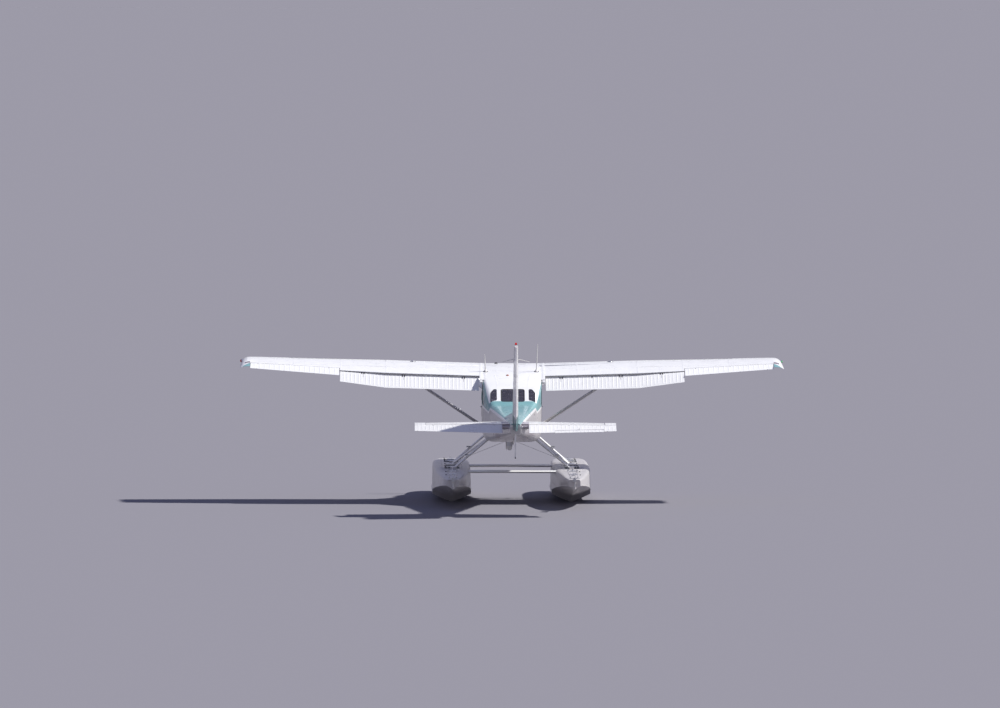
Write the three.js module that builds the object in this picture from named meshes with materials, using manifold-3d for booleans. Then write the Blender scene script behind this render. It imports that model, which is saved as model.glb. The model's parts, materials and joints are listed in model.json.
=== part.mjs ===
// A six-seat, single-engine, high-wing floatplane, standing on its two floats.
// Millimetres, +Z up, nose toward -Y, port side toward +X.
// The airframe is drawn level, as [x to port, station aft of the firewall, height above the belly],
// and then pitched nose up over the level floats.

import * as THREE from 'three';
import { mergeVertices } from 'three/addons/utils/BufferGeometryUtils.js';
import Module from 'manifold-3d';

const wasm = await Module();
wasm.setup();

// General
const TOUCH = 0.35; // gap between pieces that touch
const WALL = 30; // cabin walls and doors
const PITCH = 2; // nose-up angle of the airframe over the floats, degrees
const AIRFRAME_SEAT = [2300, 1165]; // station at which the belly line is this high above the floor

// Wing
const WING = {
  span: 5290, // half span without the tip cap
  breakSpan: 2540, // where the taper starts
  rootSpan: 560, // inside the roof's rounded corner
  leadingEdge: 610,
  leadingHeight: 1492,
  rootChord: 1626,
  tipChord: 1120,
  tipShift: 150, // how far the leading edge moves aft at the tip
  incidence: 5.2,
  washout: 2.5,
  dihedral: 1.73,
};
const TIP_CAP = { outerSpan: 5490, droop: 70, thinning: 0.75 };
const FLAP = {
  inner: 660, outer: 3475, endGap: 10, noseStation: 1756, pivotAft: 112, pivotBelow: 232, restAngle: 30,
  plates: [985, 2190, 3010],
};
const AILERON = {
  inner: 3475, endGap: 10, hingeX: 0.8, hingeZ: 0.0112, noseRadius: 0.0262, coveRadius: 0.0325,
  restAngle: 10, plates: [3700, 4400, 5130], plateHalf: 0.012, slotGap: 0.012,
};
const PLATE = { thickness: 8, side: 0.3, end: 15 }; // hinge plates and the gaps beside and behind them

// Tail
const STAB = {
  hingeStation: 6240, height: 745, span: 1755, tipSpan: 1980,
  rootFront: 810, tipFront: 540, rootRear: 440, tipRear: 290, rootHalf: 58, tipHalf: 36,
  elevatorInner: 260, restAngle: 13, coveGap: 8, plates: [420, 1050, 1620], plateAhead: 90, tubeRadius: 22,
};
const TRIM_TAB = { inner: 770, outer: 1730, chord: 95, gap: 7, plates: [1000, 1500], proud: 25 };
const FIN = {
  base: 700, middle: 1500, top: 2368, hornBase: 2060, hingeBottom: [6432, 690], hingeTop: [6849, 2368],
  leadingBase: 5450, leadingTop: 6440, trailingBottom: 6920, trailingTop: 7190,
  halfBottom: 60, halfTop: 40, coveGap: 8, plates: [1000, 1500, 1980],
};
const DORSAL = {
  start: 4300, end: 5900, bottom: 700, startTop: 885, endTop: 1210, halfTop: 14, halfBottom: 40,
};
// Balance horns of elevator and rudder: reach ahead of the hinge, where they start to round off as a
// fraction of it, half height of their front edge, overlap behind the hinge, gap to the fixed surface
const HORN = { elevatorFront: 210, rudderFront: 190, shoulder: 0.68, edge: 11, overlap: 20, gap: 12 };
const BEACON = { height: 55, radius: 26, topRadius: 18 };
const VENTRAL = { front: 5650, rear: 6330, top: 700, shoulder: 330, bottom: 130, half: 12 };

// Body sections: station, half width, bottom, top, top corner radius, bottom corner radius
const CABIN = [
  [0, 520, 130, 1000, 150, 150],
  [160, 545, 100, 1030, 140, 170],
  [680, 596, 55, 1520, 60, 215],
  [800, 600, 55, 1569, 42, 220],
  [1000, 600, 55, 1583, 40, 220],
  [1420, 600, 55, 1541, 40, 220],
  [1900, 600, 62, 1443, 45, 220],
  [2236, 590, 90, 1351, 55, 212],
  [2400, 575, 105, 1264, 85, 205],
  [2560, 553, 119, 1163, 110, 198],
  [2900, 486, 149, 940, 118, 180],
  [2960, 472, 155, 905, 115, 178],
];
const TAILCONE = [
  [2960, 472, 155, 905, 115, 178],
  [4300, 335, 333, 864, 92, 140],
  [5400, 208, 479, 832, 70, 98],
  [6520, 88, 628, 815, 45, 42],
];
const COWL = [
  [0, 520, 130, 1000, 150, 150],
  [-450, 500, 130, 975, 160, 160],
  [-700, 467, 165, 948, 175, 168],
  [-850, 425, 215, 917, 190, 170],
  [-960, 382, 275, 892, 200, 180],
  [-1040, 330, 340, 860, 205, 190],
  [-1085, 280, 385, 830, 195, 185],
  [-1100, 250, 400, 815, 190, 180],
];
const CORNER_STEPS = 5; // faces of each rounded corner of a body section
const CABIN_FRONT = 0;
const CABIN_REAR = 2960;
const CAVITY = [30, 2885]; // inside of the cabin, from the firewall to the rear bulkhead
const TAIL_END = 6370; // tailcone's end at the foot of the rudder hinge line
const TAIL_WALL = 18;
const TAIL_HOLLOW = 5300; // the tailcone is hollow from the cabin's bulkhead to this station

// Doors and windows: outlines as station, height
const DOOR = {
  outline: [[482, 215], [1330, 215], [1330, 1338], [700, 1338], [482, 985]],
  window: [[570, 800], [1280, 800], [1280, 1262], [770, 1262], [570, 940]],
  gap: 6, hingeStation: 474, hingeOut: 17, hingeRadius: 10, hinges: [560, 880], knuckle: 60,
};
const SIDE_WINDOWS = {
  mid: [[1400, 800], [1880, 805], [1880, 1248], [1400, 1262]],
  rear: [[1960, 810], [2390, 845], [2390, 1065], [2290, 1190], [1960, 1240]],
};
const WINDSHIELD = [[90, 1012], [405, 1012], [655, 1405], [655, 1600], [90, 1600]];
// Windows in the sloping rear roof, as x, station
const BACK_WINDOW = [[-236, 2530], [236, 2530], [236, 2868], [-236, 2868]];
const QUARTER_WINDOW = [[320, 2530], [386, 2530], [452, 2632], [452, 2868], [320, 2840]];
const CORNER = { door: 70, window: 55, back: 45, quarter: 28, steps: 3 };
const GLASS = { outer: -9, inner: -15 };

// Engine and propeller
const THRUST = 640;
const ENGINE = { half: 230, front: -900, rear: -60, bottom: 400, top: 820, mount: 16, shaft: 45 };
// Lower end of the exhaust pipe below the cowl, and where it leaves the engine
const EXHAUST = { from: [-150, -120, 410], to: [-150, -30, 30], radius: 32, bore: 26 };
const PROP = { station: -1250, radius: 1030, hubRadius: 100, hubHalf: 60, blades: 3, restAngle: 60 };
const SPINNER = { radius: 186, rear: -1190, tip: -1425, wall: 8, bladeHole: 62, hubGap: 0.9, steps: 8 };
const INLET = { half: 95, height: 120, centre: 215, z: 640, front: -1200, rear: -950 };
const COWL_OUTLET = { half: 210, front: -130, bottom: 60, top: 260 };
const COWL_WALL = 22;

// Floats
const FLOAT_CENTRE = 1210;
const KEEL_HALF = 16;
const STEP = 1350;
// station, keel, chine, deck edge, deck top, half beam
const FLOAT_SECTIONS = [
  [-2250, 540, 560, 590, 606, 40],
  [-2215, 450, 505, 598, 632, 108],
  [-2150, 350, 445, 612, 660, 165],
  [-2030, 252, 378, 628, 684, 222],
  [-1900, 175, 320, 640, 700, 265],
  [-1660, 95, 255, 650, 711, 318],
  [-1400, 45, 210, 655, 718, 350],
  [-1050, 10, 180, 658, 723, 374],
  [-700, 0, 165, 660, 725, 385],
  [STEP, 0, 160, 660, 725, 390],
  [STEP + 3, 95, 235, 660, 725, 390],
  [2900, 272, 375, 645, 705, 330],
  [3900, 386, 462, 610, 655, 220],
  [4330, 435, 492, 585, 615, 120],
];
const FLOAT_FITTINGS = { front: 200, rear: 2330 };
const FITTING_BLOCK = { inner: 55, outer: 35, length: 170, top: 760 }; // sides from the float's middle
const DECK_PAD = { station: 900, half: 130, length: 300, rise: 8 };
const BODY_FITTINGS = { front: 250, rear: 1750, x: 420, z: 150 };
const GEAR_STRUT = { chord: 118, thickness: 46, footHeight: 700, diagonalAhead: 135, diagonalFoot: 160 };
const SPREADER = { z: 662, chord: 130, thickness: 56, overlap: 100 };
const WATER_RUDDER = {
  station: 4405, postRadius: 20, postBottom: 452, postTop: 640, lug: 34,
  bracketFront: 4250, bracketHalf: 26, bracketEye: 30, headHeight: 60, arm: [4, 12], armRise: 18,
  axle: [4474, 612], bladeLength: 430, bladeWidth: 190, bladeThick: 6, restAngle: 8,
};
// Foot as x, station, height; top as x, station, and how far below the chord line as a fraction of it
const WING_STRUT = { foot: [530, 395, 218], top: [2300, 968, 0.04], chord: 130, thickness: 60 };

// Cabin furniture: seats as x, front of the cushion, width, depth, top of the back
const SEATS = {
  seat_pilot: [265, 700, 440, 440, 1010],
  seat_copilot: [-265, 700, 440, 440, 1010],
  seat_mid_left: [265, 1450, 440, 420, 990],
  seat_mid_right: [-265, 1450, 440, 420, 990],
  seat_rear_bench: [0, 2140, 900, 380, 870],
};
const SEAT = { bottom: 300, top: 420, backThick: 100, backLean: 110, baseInset: 112, baseFront: 60 };
const PANEL = {
  half: 470, front: 300, rear: 330, bottom: 620, top: 985, standHalf: 90, standBottom: 560,
  yokeCentre: 235, yokeHeight: 800, yokeHalf: 130, yokeStation: 474, yokeBar: 24, grip: 100, columnRadius: 14,
};

// Materials: colour, roughness, metalness
const FINISHES = {
  white: [0xeff0ec, 0.35, 0.1],
  teal: [0x2a7f7c, 0.35, 0.1],
  glass: [0x9fb4bb, 0.08, 0],
  metal: [0xb9bcbd, 0.35, 0.9],
  dark: [0x2a2c2e, 0.6, 0.1],
  seat: [0x6d7478, 0.85, 0],
  red: [0xb01c18, 0.25, 0],
};
const materials = {};
for (const [name, [color, roughness, metalness]] of Object.entries(FINISHES)) {
  materials[name] = new THREE.MeshStandardMaterial({ color, roughness, metalness });
}

// Geometry helpers

function outward(geometry) {
  const position = geometry.attributes.position;
  const index = geometry.index;
  const a = new THREE.Vector3();
  const b = new THREE.Vector3();
  const c = new THREE.Vector3();
  let volume = 0;
  for (let i = 0; i < index.count; i += 3) {
    a.fromBufferAttribute(position, index.getX(i));
    b.fromBufferAttribute(position, index.getX(i + 1));
    c.fromBufferAttribute(position, index.getX(i + 2));
    volume += a.dot(b.cross(c));
  }
  if (volume < 0) {
    for (let i = 0; i < index.count; i += 3) {
      const second = index.getX(i + 1);
      index.setX(i + 1, index.getX(i + 2));
      index.setX(i + 2, second);
    }
  }
  return geometry;
}

function geometryFrom(points, triangles) {
  const geometry = new THREE.BufferGeometry();
  geometry.setAttribute('position', new THREE.Float32BufferAttribute(points.flat(), 3));
  geometry.setIndex(triangles.flat());
  return outward(geometry);
}

// A ring's own plane: the two axes on which it shows its largest area
function flatten(ring) {
  const normal = new THREE.Vector3();
  ring.forEach((p, i) => {
    const q = ring[(i + 1) % ring.length];
    normal.x += (p[1] - q[1]) * (p[2] + q[2]);
    normal.y += (p[2] - q[2]) * (p[0] + q[0]);
    normal.z += (p[0] - q[0]) * (p[1] + q[1]);
  });
  const size = normal.toArray().map(Math.abs);
  const drop = size.indexOf(Math.max(...size));
  return ring.map((p) => new THREE.Vector2(...p.filter((_, axis) => axis !== drop)));
}

function capTriangles(ring, offset, reverse) {
  const flat = flatten(ring);
  const sign = Math.sign(THREE.ShapeUtils.area(flat)) * (reverse ? -1 : 1);
  return THREE.ShapeUtils.triangulateShape(flat, []).map((face) => {
    const turned = Math.sign(THREE.ShapeUtils.area(face.map((i) => flat[i]))) === sign;
    const [a, b, c] = face;
    return (turned ? [a, b, c] : [a, c, b]).map((i) => i + offset);
  });
}

function loft(rings) {
  const count = rings[0].length;
  const triangles = [];
  for (let r = 0; r + 1 < rings.length; r += 1) {
    for (let i = 0; i < count; i += 1) {
      const a = r * count + i;
      const b = r * count + ((i + 1) % count);
      triangles.push([a, b, b + count], [a, b + count, a + count]);
    }
  }
  const last = (rings.length - 1) * count;
  triangles.push(...capTriangles(rings[0], 0, true), ...capTriangles(rings.at(-1), last, false));
  return geometryFrom(rings.flat(), triangles);
}

function box([x0, x1], [y0, y1], [z0, z1]) {
  const outline = (z) => [[x0, y0, z], [x1, y0, z], [x1, y1, z], [x0, y1, z]];
  return loft([outline(z0), outline(z1)]);
}

// Outline given as station, height and pushed across the aircraft
function sidePrism(outline, x0, x1) {
  return loft([x0, x1].map((x) => outline.map(([y, z]) => [x, y, z])));
}

// Outline given as x, station and pushed upward
function planPrism(outline, z0, z1) {
  return loft([z0, z1].map((z) => outline.map(([x, y]) => [x, y, z])));
}

// The outline with each corner replaced by a smooth bend that starts this far from it
function roundCorners(outline, reach) {
  return outline.flatMap((corner, i) => {
    const here = new THREE.Vector2(...corner);
    const [start, end] = [outline.at(i - 1), outline[(i + 1) % outline.length]].map((neighbour) => {
      const toward = new THREE.Vector2(...neighbour).sub(here);
      return here.clone().addScaledVector(toward.clone().normalize(), Math.min(reach, toward.length() * 0.45));
    });
    const bend = new THREE.QuadraticBezierCurve(start, here, end);
    return bend.getPoints(CORNER.steps).map((point) => point.toArray());
  });
}

function rod(from, to, radius, sides = 16, endRadius = radius) {
  const start = new THREE.Vector3(...from);
  const direction = new THREE.Vector3(...to).sub(start).normalize();
  const helper = Math.abs(direction.z) < 0.9 ? new THREE.Vector3(0, 0, 1) : new THREE.Vector3(0, 1, 0);
  const u = new THREE.Vector3().crossVectors(direction, helper).normalize();
  const v = new THREE.Vector3().crossVectors(direction, u);
  const ring = (point, r) => Array.from({ length: sides }, (_, i) => {
    const angle = (2 * Math.PI * i) / sides;
    return new THREE.Vector3(...point)
      .addScaledVector(u, r * Math.cos(angle))
      .addScaledVector(v, r * Math.sin(angle)).toArray();
  });
  return loft([ring(from, radius), ring(to, endRadius)]);
}

// Streamlined strut between two points, blunt in front and thin behind
const STRUT_SECTION = [[-0.5, 0], [-0.42, 0.32], [-0.25, 0.48], [0, 0.5], [0.3, 0.3], [0.5, 0.06]];
function strut(from, to, chord, thickness) {
  const start = new THREE.Vector3(...from);
  const direction = new THREE.Vector3(...to).sub(start).normalize();
  const aft = new THREE.Vector3(0, 1, 0).addScaledVector(direction, -direction.y).normalize();
  const side = new THREE.Vector3().crossVectors(direction, aft);
  const outline = [...STRUT_SECTION, ...STRUT_SECTION.slice(1).reverse().map(([x, t]) => [x, -t])];
  const ring = (point) => outline.map(([x, t]) => new THREE.Vector3(...point)
    .addScaledVector(aft, x * chord)
    .addScaledVector(side, t * thickness).toArray());
  return loft([ring(from), ring(to)]);
}

// A hinge plate: the points laid flat on the plane square to the hinge axis at a point of the hinge,
// grown sideways for a slot
function plate(points, hinge, axis, grow = 0) {
  const origin = new THREE.Vector3(...hinge);
  const half = PLATE.thickness / 2 + grow;
  const layer = (side) => points.map((point) => {
    const p = new THREE.Vector3(...point);
    const off = p.clone().sub(origin).dot(axis);
    return p.addScaledVector(axis, side * half - off).toArray();
  });
  return loft([layer(-1), layer(1)]);
}

function mirrored(geometry) {
  return outward(geometry.clone().scale(-1, 1, 1));
}

// Joining and cutting

function solid(geometry) {
  const bare = new THREE.BufferGeometry();
  bare.setAttribute('position', geometry.attributes.position);
  bare.setIndex(geometry.index);
  const merged = mergeVertices(bare, 1e-3);
  return new wasm.Manifold(new wasm.Mesh({
    numProp: 3,
    vertProperties: new Float32Array(merged.attributes.position.array),
    triVerts: new Uint32Array(merged.index.array),
  }));
}

function toGeometry(manifold) {
  const mesh = manifold.getMesh();
  const geometry = new THREE.BufferGeometry();
  geometry.setAttribute('position', new THREE.BufferAttribute(mesh.vertProperties, 3));
  geometry.setIndex(new THREE.BufferAttribute(mesh.triVerts, 1));
  return geometry;
}

function join(...geometries) {
  return toGeometry(geometries.map(solid).reduce((whole, piece) => whole.add(piece)));
}

function cut(geometry, ...cutters) {
  return toGeometry(cutters.map(solid).reduce((whole, piece) => whole.subtract(piece), solid(geometry)));
}

function common(geometry, other) {
  return toGeometry(solid(geometry).intersect(solid(other)));
}

// Scene graph

const aircraft = new THREE.Group();
const airframe = new THREE.Group();
airframe.rotation.x = THREE.MathUtils.degToRad(-PITCH);
{
  const [seatStation, seatHeight] = AIRFRAME_SEAT;
  const seat = new THREE.Vector3(0, seatStation, 0).applyEuler(airframe.rotation);
  airframe.position.set(0, seatStation - seat.y, seatHeight - seat.z);
}
airframe.updateMatrix();
aircraft.add(airframe);

function place(name, geometry, finish, parent = airframe) {
  const drawn = geometry.clone();
  drawn.computeVertexNormals();
  const mesh = new THREE.Mesh(drawn, materials[finish]);
  mesh.name = name;
  parent.add(mesh);
  return mesh;
}

// A group that turns what is placed in it about an axis through a point of its parent
function pivot(name, point, axis, degrees = 0, parent = airframe) {
  const outer = new THREE.Group();
  outer.name = `${name}_axis`;
  outer.userData.axis = axis;
  outer.position.set(...point);
  const direction = new THREE.Vector3(...axis).normalize();
  outer.quaternion.setFromAxisAngle(direction, THREE.MathUtils.degToRad(degrees));
  const inner = new THREE.Group();
  inner.position.set(...point.map((value) => -value));
  outer.add(inner);
  parent.add(outer);
  return inner;
}

const toGround = (geometry) => geometry.clone().applyMatrix4(airframe.matrix);
const pointToGround = (point) => new THREE.Vector3(...point).applyMatrix4(airframe.matrix).toArray();

// Body sections

function sectionAt(table, station) {
  const last = table.length - 1;
  let i = 0;
  const ahead = Math.sign(table[last][0] - table[0][0]);
  while (i < last - 1 && (table[i + 1][0] - station) * ahead < 0) i += 1;
  const t = (station - table[i][0]) / (table[i + 1][0] - table[i][0]);
  return table[i].map((value, column) => value + t * (table[i + 1][column] - value));
}

function bodyRing([station, half, bottom, top, topRadius, bottomRadius], grow) {
  const corners = [
    [half - bottomRadius, bottom + bottomRadius, bottomRadius, -90],
    [half - topRadius, top - topRadius, topRadius, 0],
    [topRadius - half, top - topRadius, topRadius, 90],
    [bottomRadius - half, bottom + bottomRadius, bottomRadius, 180],
  ];
  return corners.flatMap(([x, z, radius, start]) => Array.from({ length: CORNER_STEPS + 1 }, (_, i) => {
    const angle = THREE.MathUtils.degToRad(start + (90 * i) / CORNER_STEPS);
    return [x + (radius + grow) * Math.cos(angle), station, z + (radius + grow) * Math.sin(angle)];
  }));
}

// The body between two stations, with its skin moved out by grow
function body(table, from, to, grow = 0) {
  const [low, high] = [Math.min(from, to), Math.max(from, to)];
  const inside = table.filter(([station]) => station > low + 1 && station < high - 1);
  const sections = [sectionAt(table, low), ...inside, sectionAt(table, high)]
    .sort((a, b) => a[0] - b[0]);
  return loft(sections.map((section) => bodyRing(section, grow)));
}

const cabinSide = (station) => sectionAt(CABIN, station)[1];

// Cabin, doors and windows

// A convex outline with its sides moved in
function shrink(outline, by) {
  const shape = outline.map((point) => new THREE.Vector2(...point));
  const turn = Math.sign(THREE.ShapeUtils.area(shape));
  return outline.map((_, i) => {
    const before = shape[(i + shape.length - 1) % shape.length];
    const here = shape[i];
    const after = shape[(i + 1) % shape.length];
    const a = here.clone().sub(before).normalize();
    const b = after.clone().sub(here).normalize();
    const normalA = new THREE.Vector2(-a.y, a.x).multiplyScalar(turn);
    const normalB = new THREE.Vector2(-b.y, b.x).multiplyScalar(turn);
    const bisector = normalA.add(normalB).normalize();
    const reach = by / Math.max(0.3, bisector.dot(normalB));
    return [here.x + bisector.x * reach, here.y + bisector.y * reach];
  });
}

const hull = body(CABIN, CABIN_FRONT, CABIN_REAR);
const hullGrown = body(CABIN, CABIN_FRONT, CABIN_REAR, TOUCH);
const paneShell = cut(
  body(CABIN, CABIN_FRONT, CABIN_REAR, GLASS.outer),
  body(CABIN, CABIN_FRONT - 5, CABIN_REAR + 5, GLASS.inner),
);
const OUTSIDE = 700; // past the fuselage side
const INSIDE = 300; // within the cabin, short of its side

const doorHingeX = cabinSide(DOOR.hingeStation) + DOOR.hingeOut;
const doorHinge = (z) => [doorHingeX, DOOR.hingeStation, z];

const rounded = {
  door: roundCorners(DOOR.outline, CORNER.door),
  doorWindow: roundCorners(DOOR.window, CORNER.window),
  mid: roundCorners(SIDE_WINDOWS.mid, CORNER.window),
  rear: roundCorners(SIDE_WINDOWS.rear, CORNER.window),
  windshield: roundCorners(WINDSHIELD, CORNER.window),
  back: roundCorners(BACK_WINDOW, CORNER.back),
  quarter: roundCorners(QUARTER_WINDOW, CORNER.quarter),
};
const ROOF_CUT = [700, 1400]; // heights between which the rear roof's windows are cut
const roofWindow = (outline, inset = 0) => planPrism(inset ? shrink(outline, inset) : outline, ...ROOF_CUT);

// Hinge barrels stand outside the skin: the cabin's above and below, the door's between them
function cabinKnuckles() {
  return DOOR.hinges.flatMap((z) => [z - DOOR.knuckle, z + DOOR.knuckle].map((centre) => {
    const low = centre - DOOR.knuckle / 2 + PLATE.side;
    const high = centre + DOOR.knuckle / 2 - PLATE.side;
    const side = cabinSide(DOOR.hingeStation);
    return join(
      rod(doorHinge(low), doorHinge(high), DOOR.hingeRadius),
      box([side - 8, doorHingeX], [DOOR.hingeStation - 26, DOOR.hingeStation - 4], [low, high]),
    );
  }));
}

function doorKnuckles() {
  return DOOR.hinges.map((z) => {
    const [low, high] = [z - DOOR.knuckle / 2 + PLATE.side, z + DOOR.knuckle / 2 - PLATE.side];
    const side = cabinSide(DOOR.hingeStation);
    return join(
      rod(doorHinge(low), doorHinge(high), DOOR.hingeRadius),
      box([side + 7, doorHingeX], [DOOR.hingeStation, DOOR.hingeStation + 34], [low, high]),
      box([side - 8, doorHingeX], [DOOR.hingeStation + 18, DOOR.hingeStation + 34], [low, high]),
    );
  });
}

function buildCabin() {
  const cavity = body(CABIN, ...CAVITY, -WALL);
  const through = ['windshield', 'door', 'mid', 'rear']
    .map((name) => sidePrism(rounded[name], -OUTSIDE, OUTSIDE));
  const quarter = roofWindow(rounded.quarter);
  const shell = cut(hull, cavity, ...through, roofWindow(rounded.back), quarter, mirrored(quarter));
  const knuckles = cabinKnuckles();
  return join(shell, ...knuckles, ...knuckles.map(mirrored));
}

function buildDoor() {
  const wall = cut(hull, body(CABIN, ...CAVITY, -WALL));
  const leaf = common(wall, sidePrism(shrink(rounded.door, DOOR.gap), INSIDE, OUTSIDE));
  return join(cut(leaf, sidePrism(rounded.doorWindow, INSIDE, OUTSIDE)), ...doorKnuckles());
}

const pane = (outline) => common(paneShell, sidePrism(shrink(outline, TOUCH), INSIDE, OUTSIDE));

place('cabin_shell', buildCabin(), 'white');
const screen = sidePrism(shrink(rounded.windshield, TOUCH), -OUTSIDE, OUTSIDE);
place('windshield', common(paneShell, screen), 'glass');
place('window_back', common(paneShell, roofWindow(rounded.back, TOUCH)), 'glass');
const quarterPane = common(paneShell, roofWindow(rounded.quarter, TOUCH));
const sides = [['left', (geometry) => geometry, 1], ['right', mirrored, -1]];
for (const [label, handed, sign] of sides) {
  place(`window_quarter_${label}`, handed(quarterPane), 'glass');
  place(`window_mid_${label}`, handed(pane(rounded.mid)), 'glass');
  place(`window_rear_${label}`, handed(pane(rounded.rear)), 'glass');
  const [x, y, z] = doorHinge(DOOR.hinges[0]);
  const door = pivot(`door_${label}`, [x * sign, y, z], [0, 0, -sign]);
  place(`door_${label}`, handed(buildDoor()), 'white', door);
  place(`door_window_${label}`, handed(pane(rounded.doorWindow)), 'glass', door);
}

// Tailcone with a passage for the stabilizer and the elevator's tube

const hingeSlope = (FIN.hingeTop[0] - FIN.hingeBottom[0]) / (FIN.hingeTop[1] - FIN.hingeBottom[1]);
const rudderHingeAt = (z) => FIN.hingeBottom[0] + (z - FIN.hingeBottom[1]) * hingeSlope;
const stabMix = (span) => THREE.MathUtils.clamp(span / STAB.tipSpan, 0, 1);
const stabValue = (root, tip, span) => root + (tip - root) * stabMix(span);

// Half thickness of the fixed tail surfaces from leading edge (-1) to hinge (0)
const TAIL_FRONT = [
  [-1, 0.06], [-0.985, 0.3], [-0.93, 0.6], [-0.8, 0.88], [-0.55, 1], [-0.25, 0.95], [0, 0.82],
];
const HINGE_HALF = 0.78; // half thickness of the moving surface at its hinge
const NOSE_STEPS = 6;
const EDGE_HALF = 3; // half thickness of the trailing edges
const COVE_REACH = 200;
const BEHIND = 7300; // station past the rudder
const PLATE_SHARE = 0.45; // half height of a hinge plate as a share of the surface's

function stabRing(span, grow = 0, rear = 0) {
  const front = stabValue(STAB.rootFront, STAB.tipFront, span);
  const half = stabValue(STAB.rootHalf, STAB.tipHalf, span);
  const upper = TAIL_FRONT.filter(([x]) => x < 0);
  const edge = [...upper.map(([x, t]) => [STAB.hingeStation + x * front - grow, t * half + grow]),
    [STAB.hingeStation + rear, TAIL_FRONT.at(-1)[1] * half + grow]];
  return [...edge.map(([y, t]) => [span, y, STAB.height + t]),
    ...edge.reverse().map(([y, t]) => [span, y, STAB.height - t])];
}

const noseArc = (radius) => Array.from({ length: NOSE_STEPS + 1 }, (_, i) => {
  const angle = Math.PI / 2 + (Math.PI * i) / NOSE_STEPS;
  return [radius * Math.cos(angle), radius * Math.sin(angle)];
});

// Round nose about the hinge, then straight to the trailing edge
const movingOutline = (half, rear) => [[rear, EDGE_HALF], ...noseArc(half), [rear, -EDGE_HALF]];

const coveOutline = (half, reach) => [
  [reach, reach], [0, reach], ...noseArc(half), [0, -reach], [reach, -reach]];

const hornOutline = (half, front) => [
  [HORN.overlap, half], [-front * HORN.shoulder, half], [-front, HORN.edge],
  [-front, -HORN.edge], [-front * HORN.shoulder, -half], [HORN.overlap, -half]];

const stabHalfAt = (span) => stabValue(STAB.rootHalf, STAB.tipHalf, span) * HINGE_HALF;
const stabSection = (outline, span) => outline
  .map(([y, z]) => [span, STAB.hingeStation + y, STAB.height + z]);

function stabPlates() {
  return STAB.plates.flatMap((span) => [span, -span]).map((span) => {
    const half = stabHalfAt(Math.abs(span)) * PLATE_SHARE;
    const [x0, x1] = [span - PLATE.thickness / 2, span + PLATE.thickness / 2];
    const [front, rear] = [STAB.hingeStation - STAB.plateAhead, STAB.hingeStation + half];
    return box([x0, x1], [front, rear], [STAB.height - half, STAB.height + half]);
  });
}

function buildStabilizer() {
  const plain = loft([-STAB.span, 0, STAB.span].map((x) => stabRing(Math.abs(x)).map((p) => [x, p[1], p[2]])));
  const cove = loft([-STAB.span - 5, 0, STAB.span + 5].map((x) => stabSection(
    coveOutline(stabHalfAt(Math.abs(x)) + STAB.coveGap, COVE_REACH), x)));
  return join(cut(plain, cove), ...stabPlates());
}

function buildElevatorHalf() {
  const rear = (span) => stabValue(STAB.rootRear, STAB.tipRear, span);
  const spans = [STAB.elevatorInner, STAB.tipSpan];
  const panel = loft(spans.map((span) => stabSection(movingOutline(stabHalfAt(span), rear(span)), span)));
  const hornSpans = [STAB.span + HORN.gap, STAB.tipSpan];
  const horn = loft(hornSpans.map((span) => stabSection(
    hornOutline(stabHalfAt(span) * 0.99, HORN.elevatorFront), span)));
  const slots = STAB.plates.map((span) => box(
    [span - PLATE.thickness / 2 - PLATE.side, span + PLATE.thickness / 2 + PLATE.side],
    [STAB.hingeStation - 120, STAB.hingeStation + stabHalfAt(span) * PLATE_SHARE + PLATE.end],
    [STAB.height - 90, STAB.height + 90],
  ));
  return cut(join(panel, horn), ...slots);
}

const elevatorTube = rod([-STAB.elevatorInner - 5, STAB.hingeStation, STAB.height],
  [STAB.elevatorInner + 5, STAB.hingeStation, STAB.height], STAB.tubeRadius);

// Trim tab: the rear strip of the right elevator half, hinged at its front edge
const elevatorRear = (span) => STAB.hingeStation + stabValue(STAB.rootRear, STAB.tipRear, span);
const tabHinge = (span) => elevatorRear(span) - TRIM_TAB.chord;
const elevatorHalfThickness = (span, y) => {
  const t = (y - STAB.hingeStation) / (elevatorRear(span) - STAB.hingeStation);
  return stabHalfAt(span) * (1 - t) + EDGE_HALF * t;
};

function tabBlock(inner, outer, ahead, reach, height) {
  return loft([inner, outer].map((span) => [
    [tabHinge(span) - ahead, height], [tabHinge(span) + reach, height],
    [tabHinge(span) + reach, -height], [tabHinge(span) - ahead, -height],
  ].map(([y, z]) => [span, y, STAB.height + z])));
}

const tabAxis = new THREE.Vector3(
  TRIM_TAB.outer - TRIM_TAB.inner, tabHinge(TRIM_TAB.outer) - tabHinge(TRIM_TAB.inner), 0).normalize();
const tabPlate = (span, ahead, behind, half, grow) => plate([[-ahead, -half], [behind, -half],
  [behind, half], [-ahead, half]].map(([y, z]) => [span, tabHinge(span) + y, STAB.height + z]),
[span, tabHinge(span), STAB.height], tabAxis, grow);

function buildTrimTab() {
  const spans = [TRIM_TAB.inner, TRIM_TAB.outer];
  const tab = loft(spans.map((span) => movingOutline(
    elevatorHalfThickness(span, tabHinge(span)) * 0.98, TRIM_TAB.chord + TRIM_TAB.proud)
    .map(([y, z]) => [span, tabHinge(span) + y, STAB.height + z])));
  return cut(tab, ...TRIM_TAB.plates.map((span) => tabPlate(span, 60, 22, 60, PLATE.side)));
}

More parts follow.
